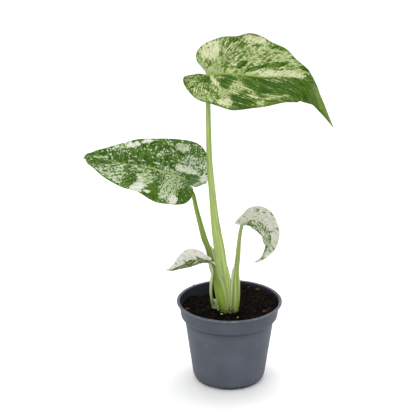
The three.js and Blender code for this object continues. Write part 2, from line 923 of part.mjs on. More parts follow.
function build() {
  const group = new THREE.Group();
  const add = (name, solid, colour, roughness) => group.add(meshOf(name, solid, colour, roughness));

  const crownAround = crown(CUT_GAP);
  const tallAround = bar(TALL_STALK, STALK_SIDES, CUT_GAP);
  const leftAround = bar(LEFT_STALK, STALK_SIDES, CUT_GAP);
  const rightAround = bar(RIGHT_STALK, STALK_SIDES, CUT_GAP);
  const tallStalk = bar(TALL_STALK, STALK_SIDES).subtract(crownAround);
  const leftStalk = bar(LEFT_STALK, STALK_SIDES).subtract(crownAround).subtract(tallAround);
  const rightStalk = bar(RIGHT_STALK, STALK_SIDES)
    .subtract(crownAround)
    .subtract(tallAround)
    .subtract(leftAround);
  const lowLeftStalk = bar(LOW_LEFT_STALK, SMALL_STALK_SIDES)
    .add(bar(LOW_LEFT_FLAP, SMALL_STALK_SIDES))
    .subtract(crownAround)
    .subtract(leftAround)
    .subtract(tallAround);
  const lowLeftAround = bar(LOW_LEFT_STALK, SMALL_STALK_SIDES, CUT_GAP).add(
    bar(LOW_LEFT_FLAP, SMALL_STALK_SIDES, CUT_GAP),
  );

  let soil = soilBody();
  for (const buried of [crownAround, tallAround, leftAround, rightAround, lowLeftAround]) {
    soil = soil.subtract(buried);
  }
  for (const piece of [...GRAINS, ...BARK]) soil = soil.subtract(bit(piece, GAP));

  add("pot", pot(), COLOURS.pot, 0.55);
  add("soil", soil, COLOURS.soil, 0.95);
  add("crown", crown(), COLOURS.crown, 0.8);
  add("stalk_tall", under(tallStalk, TALL_BLADE), COLOURS.tallStalk, 0.5);
  add("stalk_left", under(leftStalk, LEFT_BLADE), COLOURS.leftStalk, 0.5);
  add("stalk_right", under(rightStalk, RIGHT_BLADE), COLOURS.smallStalk, 0.5);
  add("stalk_low_left", under(lowLeftStalk, LOW_LEFT_BLADE), COLOURS.smallStalk, 0.5);
  add("blade_tall", blade(TALL_BLADE), COLOURS.tallBlade, 0.45);
  add("blade_left", blade(LEFT_BLADE), COLOURS.leftBlade, 0.45);
  add("blade_right", blade(RIGHT_BLADE), COLOURS.smallBlade, 0.45);
  add("blade_low_left", blade(LOW_LEFT_BLADE), COLOURS.smallBlade, 0.45);
  for (const piece of GRAINS) add(piece.name, bit(piece), COLOURS.grain, 0.8);
  for (const piece of BARK) add(piece.name, bit(piece), COLOURS.bark, 0.9);
  return group;
}

export default build();
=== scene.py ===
"""Dresses the potted mint monstera: its nursery pot, soil, leaf stalks and blades, with light and camera.

The classes hold their sizes in millimetres, as the part's source does, and MM turns them into metres.
"""

import logging
import math
import random
from collections.abc import Callable, Sequence
from dataclasses import dataclass, field
from enum import Enum

import bmesh
import bpy
from mathutils import Matrix, Vector, noise
from mathutils.bvhtree import BVHTree


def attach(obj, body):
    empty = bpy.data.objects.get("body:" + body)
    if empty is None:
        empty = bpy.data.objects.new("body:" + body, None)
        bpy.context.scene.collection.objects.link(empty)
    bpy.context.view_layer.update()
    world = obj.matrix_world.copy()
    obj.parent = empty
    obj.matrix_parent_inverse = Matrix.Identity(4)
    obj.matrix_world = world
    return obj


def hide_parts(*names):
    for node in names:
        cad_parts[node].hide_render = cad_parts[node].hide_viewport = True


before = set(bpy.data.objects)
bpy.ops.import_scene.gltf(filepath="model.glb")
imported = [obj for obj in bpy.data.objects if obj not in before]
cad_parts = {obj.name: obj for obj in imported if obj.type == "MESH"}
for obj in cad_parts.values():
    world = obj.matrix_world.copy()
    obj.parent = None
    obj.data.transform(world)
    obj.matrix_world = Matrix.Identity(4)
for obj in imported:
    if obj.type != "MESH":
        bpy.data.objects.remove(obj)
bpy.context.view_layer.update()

LOG = logging.getLogger("monstera")
BODY = "root"
MM = 0.001
# The studio is bright enough for a white floor, so all that stands on it is this much darker.
DIMMING = 0.84
# Points closer than this are one, in millimetres.
MERGE = 1e-4
# Edges that bend more than this stay sharp: on loose bits, on moulded and leafy pieces, and on none.
CRISP, MOULDED, SEAMLESS = math.radians(40), math.radians(50), math.radians(180)

Point = tuple[float, float, float]
Pair = tuple[float, float]
Colour = tuple[int, int, int]
Stop = tuple[float, Colour]


# Curves


def catmull(a: Vector, b: Vector, c: Vector, d: Vector, t: float) -> Vector:
    """Finds a point between b and c of the smooth curve through four points.

    Args:
        a: The point before the stretch.
        b: The stretch's start.
        c: The stretch's end.
        d: The point after the stretch.
        t: The share of the stretch, from 0 to 1.

    Returns:
        The point.
    """
    bend = 2 * a - 5 * b + 4 * c - d
    twist = 3 * b - a - 3 * c + d
    return (2 * b + (c - a) * t + bend * t * t + twist * t**3) / 2


@dataclass(frozen=True)
class Course:
    """A smooth curve through points; its ends bend as if it ran on, or stop short as an outline does."""

    points: tuple[tuple[float, ...], ...]
    runs_on: bool = True

    def at(self, share: float) -> Vector:
        """Finds the point at a share of the way, counted in stretches between the points.

        Args:
            share: From 0 at the first point to 1 at the last.

        Returns:
            The point.
        """
        last = len(self.points) - 1
        place = min(max(share, 0.0), 1.0) * last
        i = min(int(place), last - 1)
        b, c = Vector(self.points[i]), Vector(self.points[i + 1])
        before = Vector(self.points[i - 1]) if i > 0 else (2 * b - c if self.runs_on else b)
        after = Vector(self.points[i + 2]) if i + 2 <= last else (2 * c - b if self.runs_on else c)
        return catmull(before, b, c, after, place - i)


def smoothstep(value: float, low: float, high: float) -> float:
    """Rises smoothly from 0 at low to 1 at high."""
    share = min(max((value - low) / (high - low), 0.0), 1.0)
    return share * share * (3 - 2 * share)


# Finishes


def linear(colour: Colour, share: float = DIMMING) -> tuple[float, float, float, float]:
    """Turns a display colour of 0 to 255 a channel into the linear colour that shaders take.

    Args:
        colour: Red, green and blue.
        share: What the linear colour is multiplied by.

    Returns:
        Linear red, green, blue and an alpha of 1.
    """
    channels = []
    for level in colour:
        part = level / 255
        channels.append(share * (part / 12.92 if part <= 0.04045 else ((part + 0.055) / 1.055) ** 2.4))
    return (channels[0], channels[1], channels[2], 1.0)


def toned(colour: Colour, share: float) -> Colour:
    """Darkens or lightens a display colour by a factor."""
    return tuple(int(level * share) for level in colour)


class Shader:
    """A node material while it is put together."""

    def __init__(self, name: str) -> None:
        """Starts a material of that name with a shader and an output.

        Args:
            name: The material's name.
        """
        self.material = bpy.data.materials.new(name)
        self.material.use_nodes = True
        self.tree = self.material.node_tree
        self.tree.nodes.clear()
        self.surface = self.tree.nodes.new("ShaderNodeBsdfPrincipled")
        output = self.tree.nodes.new("ShaderNodeOutputMaterial")
        self.tree.links.new(self.surface.outputs["BSDF"], output.inputs["Surface"])

    def feed(self, socket: bpy.types.NodeSocket, value: object) -> None:
        """Links a socket to another, or sets its own value.

        Args:
            socket: The input.
            value: An output socket, or a plain value.
        """
        if isinstance(value, bpy.types.NodeSocket):
            self.tree.links.new(value, socket)
        else:
            socket.default_value = value

    def own(self) -> bpy.types.NodeSocket:
        """Returns the piece's own coordinates, in metres."""
        return self.tree.nodes.new("ShaderNodeTexCoord").outputs["Object"]

    def attribute(self, name: str, output: str = "Fac") -> bpy.types.NodeSocket:
        """Reads an attribute that the piece's mesh carries.

        Args:
            name: The attribute.
            output: Fac for a number, Vector for three.

        Returns:
            The socket.
        """
        node = self.tree.nodes.new("ShaderNodeAttribute")
        node.attribute_name = name
        return node.outputs[output]

    def stretched(self, vector: bpy.types.NodeSocket, scale: Point, offset: Point = (0, 0, 0)) -> bpy.types.NodeSocket:
        """Scales coordinates by axis.

        Args:
            vector: The coordinates.
            scale: The factor on each axis.
            offset: What is added to each.

        Returns:
            The scaled coordinates.
        """
        node = self.tree.nodes.new("ShaderNodeMapping")
        self.feed(node.inputs["Vector"], vector)
        node.inputs["Scale"].default_value = scale
        node.inputs["Location"].default_value = offset
        return node.outputs["Vector"]

    def cloud(self, vector: bpy.types.NodeSocket, scale: float, detail: float) -> bpy.types.NodeSocket:
        """Makes soft noise of about that many spots for each unit of the coordinates.

        Args:
            vector: The coordinates.
            scale: How fine it is.
            detail: How many finer layers it has.

        Returns:
            The noise, from 0 to 1 round one half.
        """
        node = self.tree.nodes.new("ShaderNodeTexNoise")
        self.feed(node.inputs["Vector"], vector)
        node.inputs["Scale"].default_value = scale
        node.inputs["Detail"].default_value = detail
        return node.outputs["Fac"]

    def cells(self, vector: bpy.types.NodeSocket, scale: float) -> bpy.types.NodeSocket:
        """Makes the distance from scattered cell centres.

        Args:
            vector: The coordinates.
            scale: Cells for each unit.

        Returns:
            The distance.
        """
        node = self.tree.nodes.new("ShaderNodeTexVoronoi")
        self.feed(node.inputs["Vector"], vector)
        node.inputs["Scale"].default_value = scale
        return node.outputs["Distance"]

    def sum(self, kind: str, first: object, second: object, third: object = 0.0) -> bpy.types.NodeSocket:
        """Does one step of arithmetic.

        Args:
            kind: The operation, such as ADD, MULTIPLY or MULTIPLY_ADD.
            first: The first value.
            second: The second value.
            third: The third value.

        Returns:
            The result.
        """
        node = self.tree.nodes.new("ShaderNodeMath")
        node.operation = kind
        for socket, value in zip(node.inputs, (first, second, third)):
            self.feed(socket, value)
        return node.outputs[0]

    def band(
        self, value: object, low: float, high: float, to_low: float = 0.0, to_high: float = 1.0
    ) -> bpy.types.NodeSocket:
        """Maps a range smoothly to another and holds it at both ends.

        Args:
            value: What is mapped.
            low: Where the range starts.
            high: Where it ends.
            to_low: The result at its start.
            to_high: The result at its end.

        Returns:
            The mapped value.
        """
        node = self.tree.nodes.new("ShaderNodeMapRange")
        node.interpolation_type = "SMOOTHSTEP"
        for socket, part in zip(node.inputs, (value, low, high, to_low, to_high)):
            self.feed(socket, part)
        return node.outputs["Result"]

    def ramp(self, value: bpy.types.NodeSocket, stops: Sequence[Stop]) -> bpy.types.NodeSocket:
        """Turns a number into a colour.

        Args:
            value: The number, from 0 to 1.
            stops: Places from 0 to 1, each with its colour.

        Returns:
            The colour.
        """
        node = self.tree.nodes.new("ShaderNodeValToRGB")
        self.feed(node.inputs["Fac"], value)
        elements = node.color_ramp.elements
        while len(elements) < len(stops):
            elements.new(1.0)
        for element, (place, colour) in zip(elements, stops):
            element.position = place
            element.color = linear(colour)
        return node.outputs["Color"]

    def mixed(self, share: object, under: object, over: object) -> bpy.types.NodeSocket:
        """Lays one colour over another.

        Args:
            share: How much of the second shows.
            under: The first colour.
            over: The second colour.

        Returns:
            The colour.
        """
        node = self.tree.nodes.new("ShaderNodeMix")
        node.data_type = "RGBA"
        self.feed(node.inputs["Factor"], share)
        first, second = (socket for socket in node.inputs if socket.type == "RGBA")
        self.feed(first, under)
        self.feed(second, over)
        return next(socket for socket in node.outputs if socket.type == "RGBA")

    def relief(self, height: bpy.types.NodeSocket, depth: float, strength: float) -> bpy.types.NodeSocket:
        """Turns a height into a bumped normal.

        Args:
            height: The height, from 0 to 1.
            depth: How far 1 stands out, in metres.
            strength: How much of it shows.

        Returns:
            The normal.
        """
        node = self.tree.nodes.new("ShaderNodeBump")
        node.inputs["Distance"].default_value = depth
        node.inputs["Strength"].default_value = strength
        self.feed(node.inputs["Height"], height)
        return node.outputs["Normal"]

    def done(self, colour: object, roughness: object, normal: object = None, **fixed: float) -> bpy.types.Material:
        """Joins the parts to the shader.

        Args:
            colour: The base colour.
            roughness: The roughness.
            normal: A bumped normal, if any.
            **fixed: Further plain values, by the shader's socket name with _ for each space.

        Returns:
            The material.
        """
        self.feed(self.surface.inputs["Base Color"], colour)
        self.feed(self.surface.inputs["Roughness"], roughness)
        if normal is not None:
            self.feed(self.surface.inputs["Normal"], normal)
        for name, value in fixed.items():
            self.surface.inputs[name.replace("_", " ")].default_value = value
        return self.material


@dataclass(frozen=True)
class LeafFinish:
    """The upper and lower faces of a variegated blade, from its deepest green to its cream."""

    name: str
    greens: tuple[Colour, Colour]
    pales: tuple[Colour, Colour]
    rib_colour: Colour
    streak_grain: Pair = (0.40, 0.085)
    fleck_grain: Pair = (0.50, 0.26)
    shade_grain: Pair = (0.7, 0.07)
    hair_grain: Pair = (1.1, 0.3)
    mottle_share: float = 0.75
    hair_share: float = 0.25
    crispness: float = 1.9
    contrast: float = 31.0
    # The colour of the painted bluish sheen that lies over some patches.
    painted_sheen_colour: Colour = (128, 150, 132)
    seed: float = 0.0

    def fields(self, shader: Shader) -> bpy.types.NodeSocket:
        """Breaks the blade's broad green and pale fields into streaks along its veins and crisp flecks.

        Args:
            shader: The material that it is for.

        Returns:
            The tissue's colour.
        """
        veins = shader.attribute("veins", "Vector")
        flat = shader.attribute("flat", "Vector")
        offset = (self.seed, self.seed, 0)
        streaks = shader.cloud(shader.stretched(veins, (*self.streak_grain, 0.0), offset), 1.0, 2.0)
        flecks = shader.cloud(shader.stretched(flat, (*self.fleck_grain, 0.0), offset), 1.0, 2.0)
        shade = shader.cloud(shader.stretched(veins, (*self.shade_grain, 0.0), (0, self.seed, 0)), 1.0, 3.0)
        hairs = shader.cloud(shader.stretched(veins, (*self.hair_grain, 0.0), offset), 1.0, 1.0)
        mottle = shader.sum("SUBTRACT", streaks, flecks)
        mottle = shader.sum("MULTIPLY_ADD", mottle, shader.attribute("streaking"), flecks)
        # The noise lies round one half, so its weighted sum is brought round 0.
        spread = shader.sum("MULTIPLY_ADD", mottle, self.mottle_share, -0.5)
        spread = shader.sum("MULTIPLY_ADD", hairs, self.hair_share, spread)
        signal = shader.sum("MULTIPLY_ADD", spread, self.contrast, shader.attribute("paleness"))
        pale = shader.band(signal, -self.crispness, self.crispness)
        drift = shader.sum("ADD", shader.band(shade, 0.3, 0.7, -0.35, 0.35), shader.band(hairs, 0.25, 0.75, -0.3, 0.3))
        deep = shader.sum("ADD", shader.attribute("green_shade"), drift)
        green = shader.ramp(deep, ((0.0, self.greens[0]), (1.0, self.greens[1])))
        light = shader.sum("ADD", shader.attribute("pale_shade"), drift)
        cream = shader.ramp(light, ((0.0, self.pales[0]), (1.0, self.pales[1])))
        colour = shader.mixed(pale, green, cream)
        # A painted bluish sheen is laid over the tissue where the patches ask for it.
        return shader.mixed(shader.attribute("painted_sheen"), colour, linear(self.painted_sheen_colour))

    def upper(self) -> bpy.types.Material:
        """Makes the upper face: crisp fields of green, mint and cream, a pale midrib and a satin skin.

        Returns:
            The material.
        """
        shader = Shader(self.name + "_upper")
        flat = shader.attribute("flat", "Vector")
        colour = shader.mixed(shader.attribute("rib"), self.fields(shader), linear(self.rib_colour))
        grain = shader.cloud(flat, 1.6, 3.0)
        pores = shader.cells(flat, 2.4)
        normal = shader.relief(shader.sum("MULTIPLY_ADD", pores, 0.25, grain), 0.0002, 0.5)
        return shader.done(colour, shader.band(grain, 0.3, 0.7, 0.42, 0.54), normal, Specular_IOR_Level=0.05)

    def lower(self) -> bpy.types.Material:
        """Makes the under face: the same fields seen through a paler, duller skin.

        Returns:
            The material.
        """
        shader = Shader(self.name + "_lower")
        flat = shader.attribute("flat", "Vector")
        colour = shader.mixed(0.4, self.fields(shader), linear((150, 168, 118)))
        colour = shader.mixed(shader.attribute("rib"), colour, linear(self.rib_colour))
        normal = shader.relief(shader.cloud(flat, 1.3, 3.0), 0.0003, 0.6)
        return shader.done(colour, 0.62, normal, Specular_IOR_Level=0.12)


@dataclass(frozen=True)
class StalkFinish:
    """A smooth leaf stalk with pale lengthwise streaks, in a green of its own towards its stained foot."""

    name: str
    colour: Colour
    pale: Colour
    low: Colour = (163, 186, 94)
    bleached: Colour = (204, 212, 178)
    shade: Colour = (112, 132, 58)
    stain: Colour = (96, 92, 48)
    streaking: float = 0.5
    staining: float = 0.85
    # How fast each layer of streaks changes along the stalk, against round it.
    streak_pace: float = 0.012
    line_pace: float = 0.005
    broad_pace: float = 0.03
    seed: float = 0.0

    def material(self) -> bpy.types.Material:
        """Makes the stalk's material, which reads how far round and up the stalk a point is.

        Returns:
            The material.
        """
        shader = Shader(self.name)
        around = shader.attribute("round", "Vector")
        offset = (self.seed, self.seed, self.seed)
        streaks = shader.cloud(shader.stretched(around, (1.0, 1.0, self.streak_pace), offset), 1.4, 3.0)
        lines = shader.cloud(shader.stretched(around, (1.0, 1.0, self.line_pace), offset), 2.7, 2.5)
        broad = shader.cloud(shader.stretched(around, (0.5, 0.5, self.broad_pace), offset), 1.0, 1.0)
        share = shader.sum("MULTIPLY", shader.band(streaks, 0.42, 0.68), self.streaking)
        base = shader.mixed(shader.attribute("lowness"), linear(self.colour), linear(self.low))
        colour = shader.mixed(share, base, linear(self.pale))
        colour = shader.mixed(shader.band(lines, 0.52, 0.66, 0.0, 0.75), colour, linear(self.pale))
        colour = shader.mixed(shader.band(lines, 0.34, 0.47, 0.6, 0.0), colour, linear(self.shade))
        colour = shader.mixed(shader.band(broad, 0.48, 0.75, 0.0, 0.6), colour, linear(toned(self.colour, 0.78)))
        bleach = shader.sum("MULTIPLY", shader.attribute("bleach"), shader.band(lines, 0.3, 0.6, 0.7, 1.0))
        colour = shader.mixed(bleach, colour, linear(self.bleached))
        # Damp soil has stained the foot in specks.
        specks = shader.cloud(shader.own(), 420.0, 3.0)
        foot = shader.attribute("foot")
        low = shader.band(foot, 0.0, 0.7, 0.0, self.staining)
        stained = shader.band(shader.sum("MULTIPLY_ADD", foot, 0.17, specks), 0.57, 0.68)
        colour = shader.mixed(shader.sum("MULTIPLY", stained, low), colour, linear(self.stain))
        height = shader.sum("MULTIPLY_ADD", lines, 0.5, streaks)
        normal = shader.relief(height, 0.0005, 0.35)
        roughness = shader.band(streaks, 0.3, 0.7, 0.34, 0.46)
        return shader.done(colour, roughness, normal, Specular_IOR_Level=0.2)


@dataclass(frozen=True)
class PotFinish:
    """Grey moulded plastic, scuffed at the rim, with faint flow lines, an inside darkened by painted shade with a
    little dust, and painted shade below the collar.
    """

    name: str = "pot_plastic"
    colour: Colour = (87, 92, 102)
    edge: Colour = (118, 121, 127)
    inside: Colour = (35, 40, 49)
    # The colour of the painted shade in the crease below the collar and on the collar.
    painted_shade: Colour = (50, 53, 60)

    def material(self) -> bpy.types.Material:
        """Makes the pot's material from its own coordinates, its wear attributes and the attributes that carry its
        painted shade.

        Returns:
            The material.
        """
        shader = Shader(self.name)
        own = shader.own()
        mottle = shader.cloud(own, 38.0, 4.0)
        flow = shader.cloud(shader.stretched(own, (1, 1, 0.06)), 130.0, 3.0)
        scratch = shader.cloud(shader.stretched(own, (0.35, 0.35, 2.4)), 420.0, 2.0)
        fine = shader.cloud(own, 1500.0, 2.0)
        darker, lighter = toned(self.colour, 0.96), toned(self.colour, 1.05)
        colour = shader.mixed(shader.band(mottle, 0.35, 0.7), linear(darker), linear(lighter))
        colour = shader.mixed(shader.band(flow, 0.5, 0.75, 0.0, 0.35), colour, linear(lighter))
        # The inside is darkened by painted shade, with a little dust.
        colour = shader.mixed(shader.attribute("inside"), colour, linear(self.inside))
        # Painted shade in the crease below the collar, and a little on the collar.
        colour = shader.mixed(shader.attribute("crease"), colour, linear(self.painted_shade))
        scuffs = shader.sum("MULTIPLY", shader.attribute("scuff"), shader.band(scratch, 0.4, 0.62, 0.15, 1.0))
        colour = shader.mixed(scuffs, colour, linear(self.edge))
        height = shader.sum("MULTIPLY_ADD", fine, 0.4, shader.sum("MULTIPLY_ADD", scratch, 0.5, flow))
        normal = shader.relief(height, 0.00012, 0.5)
        roughness = shader.band(mottle, 0.3, 0.7, 0.42, 0.56)
        return shader.done(colour, roughness, normal, Specular_IOR_Level=0.1)


@dataclass(frozen=True)
class EarthFinish:
    """Dark, moist potting soil with brown and greyish crumbs."""

    name: str = "soil"
    dark: Colour = (9, 8, 5)
    brown: Colour = (25, 20, 14)
    tan: Colour = (62, 49, 34)

    def material(self) -> bpy.types.Material:
        """Makes the soil's material, with lumps and crumbs in its relief and dust in its colour.

        Returns:
            The material.
        """
        shader = Shader(self.name)
        own = shader.own()
        lumps = shader.cloud(own, 260.0, 4.0)
        crumbs = shader.cells(own, 620.0)
        dust = shader.cloud(own, 1400.0, 3.0)
        colour = shader.mixed(shader.band(lumps, 0.42, 0.72), linear(self.dark), linear(self.brown))
        colour = shader.mixed(shader.band(dust, 0.6, 0.76, 0.0, 0.6), colour, linear(self.tan))
        height = shader.sum("MULTIPLY_ADD", crumbs, 0.8, lumps)
        normal = shader.relief(height, 0.0014, 0.9)
        return shader.done(colour, 0.95, normal, Specular_IOR_Level=0.05)


@dataclass(frozen=True)
class BitFinish:
    """A rough, mottled solid, such as a mineral grain, a bark bit or a root."""

    name: str
    light: Colour
    dark: Colour
    grain: float = 700.0
    roughness: float = 0.85

    def material(self) -> bpy.types.Material:
        """Makes the mottled material.

        Returns:
            The material.
        """
        shader = Shader(self.name)
        own = shader.own()
        mottle = shader.cloud(own, self.grain, 4.0)
        pits = shader.cells(own, self.grain * 2)
        colour = shader.mixed(shader.band(mottle, 0.4, 0.65), linear(self.dark), linear(self.light))
        height = shader.sum("MULTIPLY_ADD", pits, 0.6, mottle)
        return shader.done(colour, self.roughness, shader.relief(height, 0.0004, 0.8), Specular_IOR_Level=0.3)


@dataclass(frozen=True)
class FloorFinish:
    """The plain pale floor."""

    colour: Colour = (254, 254, 254)

    def material(self) -> bpy.types.Material:
        """Makes the floor's material."""
        return Shader("floor").done(linear(self.colour, 1.0), 0.9, None, Specular_IOR_Level=0.1)


# Pieces


def settle(
    name: str,
    bm: bmesh.types.BMesh,
    materials: Sequence[bpy.types.Material],
    nodes: Sequence[str],
    sharp: float = CRISP,
) -> bpy.types.Object:
    """Turns a finished bmesh into a piece of the object.

    Args:
        name: The piece's name.
        bm: Its mesh, which is freed.
        materials: Its materials, by face index.
        nodes: The CAD nodes that it stands for.
        sharp: Edges that bend more than this angle stay sharp.

    Returns:
        The piece.
    """
    for face in bm.faces:
        face.smooth = True
    mesh = bpy.data.meshes.new(name)
    bm.to_mesh(mesh)
    bm.free()
    mesh.set_sharp_from_angle(angle=sharp)
    for material in materials:
        mesh.materials.append(material)
    piece = bpy.data.objects.new(name, mesh)
    bpy.context.collection.objects.link(piece)
    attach(piece, BODY)
    if nodes:
        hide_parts(*nodes)
    LOG.info("%s: %d faces", name, len(mesh.polygons))
    return piece


def bent_grid(columns: int, rows: int, bend: Callable[[float, float], Vector]) -> bmesh.types.BMesh:
    """Makes a grid and moves each of its points to where a function puts it.

    Args:
        columns: Faces from side to side.
        rows: Faces from end to end.
        bend: Gives a point, in millimetres, for its two shares of the grid, from 0 to 1.

    Returns:
        The bent grid, in millimetres, with its points' shares kept in the layers across and along.
    """
    bm = bmesh.new()
    bmesh.ops.create_grid(bm, x_segments=columns, y_segments=rows, size=1.0)
    across = bm.verts.layers.float.new("across")
    along = bm.verts.layers.float.new("along")
    for vert in bm.verts:
        vert[across], vert[along] = (vert.co.x + 1) / 2, (vert.co.y + 1) / 2
        vert.co = bend(vert[across], vert[along])
    return bm


def to_metres(bm: bmesh.types.BMesh) -> None:
    """Scales a bmesh from millimetres to metres."""
    bmesh.ops.scale(bm, vec=(MM, MM, MM), verts=bm.verts)


def face_out(bm: bmesh.types.BMesh) -> None:
    """Merges doubled points and turns every face outwards."""
    bmesh.ops.remove_doubles(bm, verts=bm.verts, dist=MERGE)
    bmesh.ops.recalc_face_normals(bm, faces=bm.faces)


@dataclass
class Pot:
    """The thin nursery pot: a turned-out rim, a collar, a tapered body and a raised floor with notches."""

    height: float = 94.5
    rim_radius: float = 59.5
    rim_thickness: float = 1.4
    wall: float = 1.2
    collar_top_radius: float = 56.7
    collar_foot: Pair = (54.7, 77.3)
    shoulder: Pair = (50.4, 73.2)
    heel: Pair = (41.0, 4.4)
    foot_outer: float = 37.3
    foot_inner: float = 33.0
    channel_outer: float = 30.5
    channel_inner: float = 18.5
    pad: float = 16.0
    channel_rise: float = 3.0
    steps: int = 144
    notch_first: float = -26.0
    notch_count: int = 8
    notch_widths: Pair = (14.0, 8.0)
    notch_height: float = 3.4
    notch_depths: Pair = (31.8, 43.8)
    notch_rounding: float = 1.6
    inner_step: float = 0.6
    inner_rise: float = 0.4
    long_stretch: float = 12.0
    stretch_cuts: int = 10
    # How far the inside is darkened by painted shade, with a little dust.
    inside_dust_and_shade: float = 0.85
    lip_scuff: float = 0.55
    foot_scuff: float = 0.4
    # How dark the painted shade is in the crease below the collar, and on the collar.
    crease_painted_shade: float = 0.8
    collar_painted_shade: float = 0.2
    finish: PotFinish = field(default_factory=PotFinish)

    def wall_line(self) -> list[tuple[float, float, float]]:
        """Lists the wall's half section from the floor's middle outside, over the rim, to its middle inside.

        Returns:
            Radius, height and how far the corner there is rounded.
        """
        wall, top, step, rise = self.wall, self.height, self.inner_step, self.inner_rise
        heel_r, heel_z = self.heel
        return [
            (0, 0, 0),
            (self.pad, 0, 0.6),
            (self.channel_inner, self.channel_rise, 0.6),
            (self.channel_outer, self.channel_rise, 0.6),
            (self.foot_inner, 0, 0.5),
            (self.foot_outer, 0, 1.2),
            (heel_r, heel_z, 2.8),
            (*self.shoulder, 0.8),
            (*self.collar_foot, 0.8),
            (self.collar_top_radius, top - self.rim_thickness, 0.7),
            (self.rim_radius, top - self.rim_thickness, 0.55),
            (self.rim_radius, top, 0.6),
            (self.collar_top_radius - step, top, 0.7),
            (self.collar_foot[0] - wall, self.collar_foot[1] + rise, 1.2),
            (self.shoulder[0] - wall, self.shoulder[1] + rise, 1.0),
            (heel_r - wall, heel_z + rise, 1.6),
            (self.foot_outer, wall, 0.8),
            (self.foot_inner + step, wall, 0.5),
            (self.channel_outer + step, self.channel_rise + wall, 0.6),
            (self.channel_inner - step, self.channel_rise + wall, 0.6),
            (self.pad - step, wall, 0.5),
            (0, wall, 0),
        ]

    def shell(self) -> bmesh.types.BMesh:
        """Spins the rounded half section into the pot's shell.

        Returns:
            The shell, in millimetres.
        """
        bm = bmesh.new()
        line = self.wall_line()
        corners = [bm.verts.new((radius, 0, z)) for radius, z, _ in line]
        for start, end in zip(corners, corners[1:]):
            bm.edges.new((start, end))
        for corner, (_, _, rounding) in zip(corners, line):
            if rounding:
                bmesh.ops.bevel(
                    bm, geom=[corner], offset=rounding, offset_type="OFFSET", segments=3,
                    profile=0.5, affect="VERTICES", material=-1,
                )
        # Long stretches are split so that the wear can follow their height.
        long = [edge for edge in bm.edges if edge.calc_length() > self.long_stretch]
        bmesh.ops.subdivide_edges(bm, edges=long, cuts=self.stretch_cuts)
        bmesh.ops.spin(
            bm, geom=list(bm.verts) + list(bm.edges), cent=(0, 0, 0), axis=(0, 0, 1),
            angle=math.tau, steps=self.steps, use_merge=True,
        )
        face_out(bm)
        return bm

    def notches(self) -> bpy.types.Object:
        """Makes the rounded blocks that cut the drainage notches through the foot.

        Returns:
            The blocks, as one object.
        """
        bm = bmesh.new()
        near, far = self.notch_depths
        for i in range(self.notch_count):
            width = self.notch_widths[i % 2]
            made = bmesh.ops.create_cube(bm, size=1.0)["verts"]
            bmesh.ops.scale(bm, vec=(width, far - near, 2 * self.notch_height), verts=made)
            bmesh.ops.translate(bm, vec=(0, -(near + far) / 2, 0), verts=made)
            upright = [
                edge for edge in {e for vert in made for e in vert.link_edges}
                if all(vert.co.z > 0 for vert in edge.verts) and abs(edge.verts[0].co.x - edge.verts[1].co.x) < 0.1
            ]
            bevelled = bmesh.ops.bevel(
                bm, geom=upright, offset=self.notch_rounding, offset_type="OFFSET", segments=4,
                profile=0.5, affect="EDGES", material=-1,
            )["verts"]
            around = list({vert for vert in made if vert.is_valid} | set(bevelled))
            turn = math.radians(self.notch_first + i * 360 / self.notch_count)
            bmesh.ops.rotate(bm, cent=(0, 0, 0), matrix=Matrix.Rotation(turn, 3, "Z"), verts=around)
        mesh = bpy.data.meshes.new("notches")
        bm.to_mesh(mesh)
        bm.free()
        cutter = bpy.data.objects.new("notches", mesh)
        bpy.context.collection.objects.link(cutter)
        return cutter

    def cut(self, bm: bmesh.types.BMesh) -> bmesh.types.BMesh:
        """Cuts the notches out of the shell.

        Args:
            bm: The shell, which is freed.

        Returns:
            The cut shell.
        """
        mesh = bpy.data.meshes.new("shell")
        bm.to_mesh(mesh)
        bm.free()
        shell = bpy.data.objects.new("shell", mesh)
        bpy.context.collection.objects.link(shell)
        cutter = self.notches()
        boolean = shell.modifiers.new("notches", "BOOLEAN")
        boolean.operation = "DIFFERENCE"
        boolean.solver = "EXACT"
        boolean.object = cutter
        bpy.context.view_layer.update()
        graph = bpy.context.evaluated_depsgraph_get()
        made = bmesh.new()
        made.from_mesh(shell.evaluated_get(graph).to_mesh())
        for spent in (shell, cutter):
            bpy.data.objects.remove(spent)
        return made

    def wear(self, bm: bmesh.types.BMesh) -> None:
        """Marks the inside's painted shade and dust, the scuffed edges and the painted shade below the collar, as
        numbers on the mesh's points.

        Args:
            bm: The pot, in millimetres.
        """
        inside = bm.verts.layers.float.new("inside")
        scuff = bm.verts.layers.float.new("scuff")
        crease = bm.verts.layers.float.new("crease")
        for vert in bm.verts:
            radius = math.hypot(vert.co.x, vert.co.y)
            z = vert.co.z
            outer = self.wall_radius(z)
            within = z > 2 and radius < outer - self.wall / 2 and z < self.height - 0.3
            # The inside gets painted shade, with a little dust.
            vert[inside] = self.inside_dust_and_shade if within else 0.0
            edge = smoothstep(radius, self.rim_radius - 1.6, self.rim_radius - 0.2)
            edge *= smoothstep(z, self.height - 2, self.height - 1)
            lip = self.lip_scuff * smoothstep(z, self.height - 0.5, self.height - 0.05)
            foot = self.foot_scuff * (1 - smoothstep(z, 0.5, 5)) * (radius > self.foot_inner)
            vert[scuff] = max(edge, lip, foot)
            # Painted shade darkens the crease below the collar, and a little of it darkens the collar.
            below = smoothstep(z, self.shoulder[1] - 1.3, self.shoulder[1] - 0.2)
            above = 1 - smoothstep(z, self.shoulder[1] + 1.0, self.shoulder[1] + 3.0)
            collar = smoothstep(z, self.collar_foot[1] - 3.0, self.collar_foot[1]) * (z < self.height - 2)
            vert[crease] = 0.0 if within else max(self.crease_painted_shade * below * above, self.collar_painted_shade * collar)

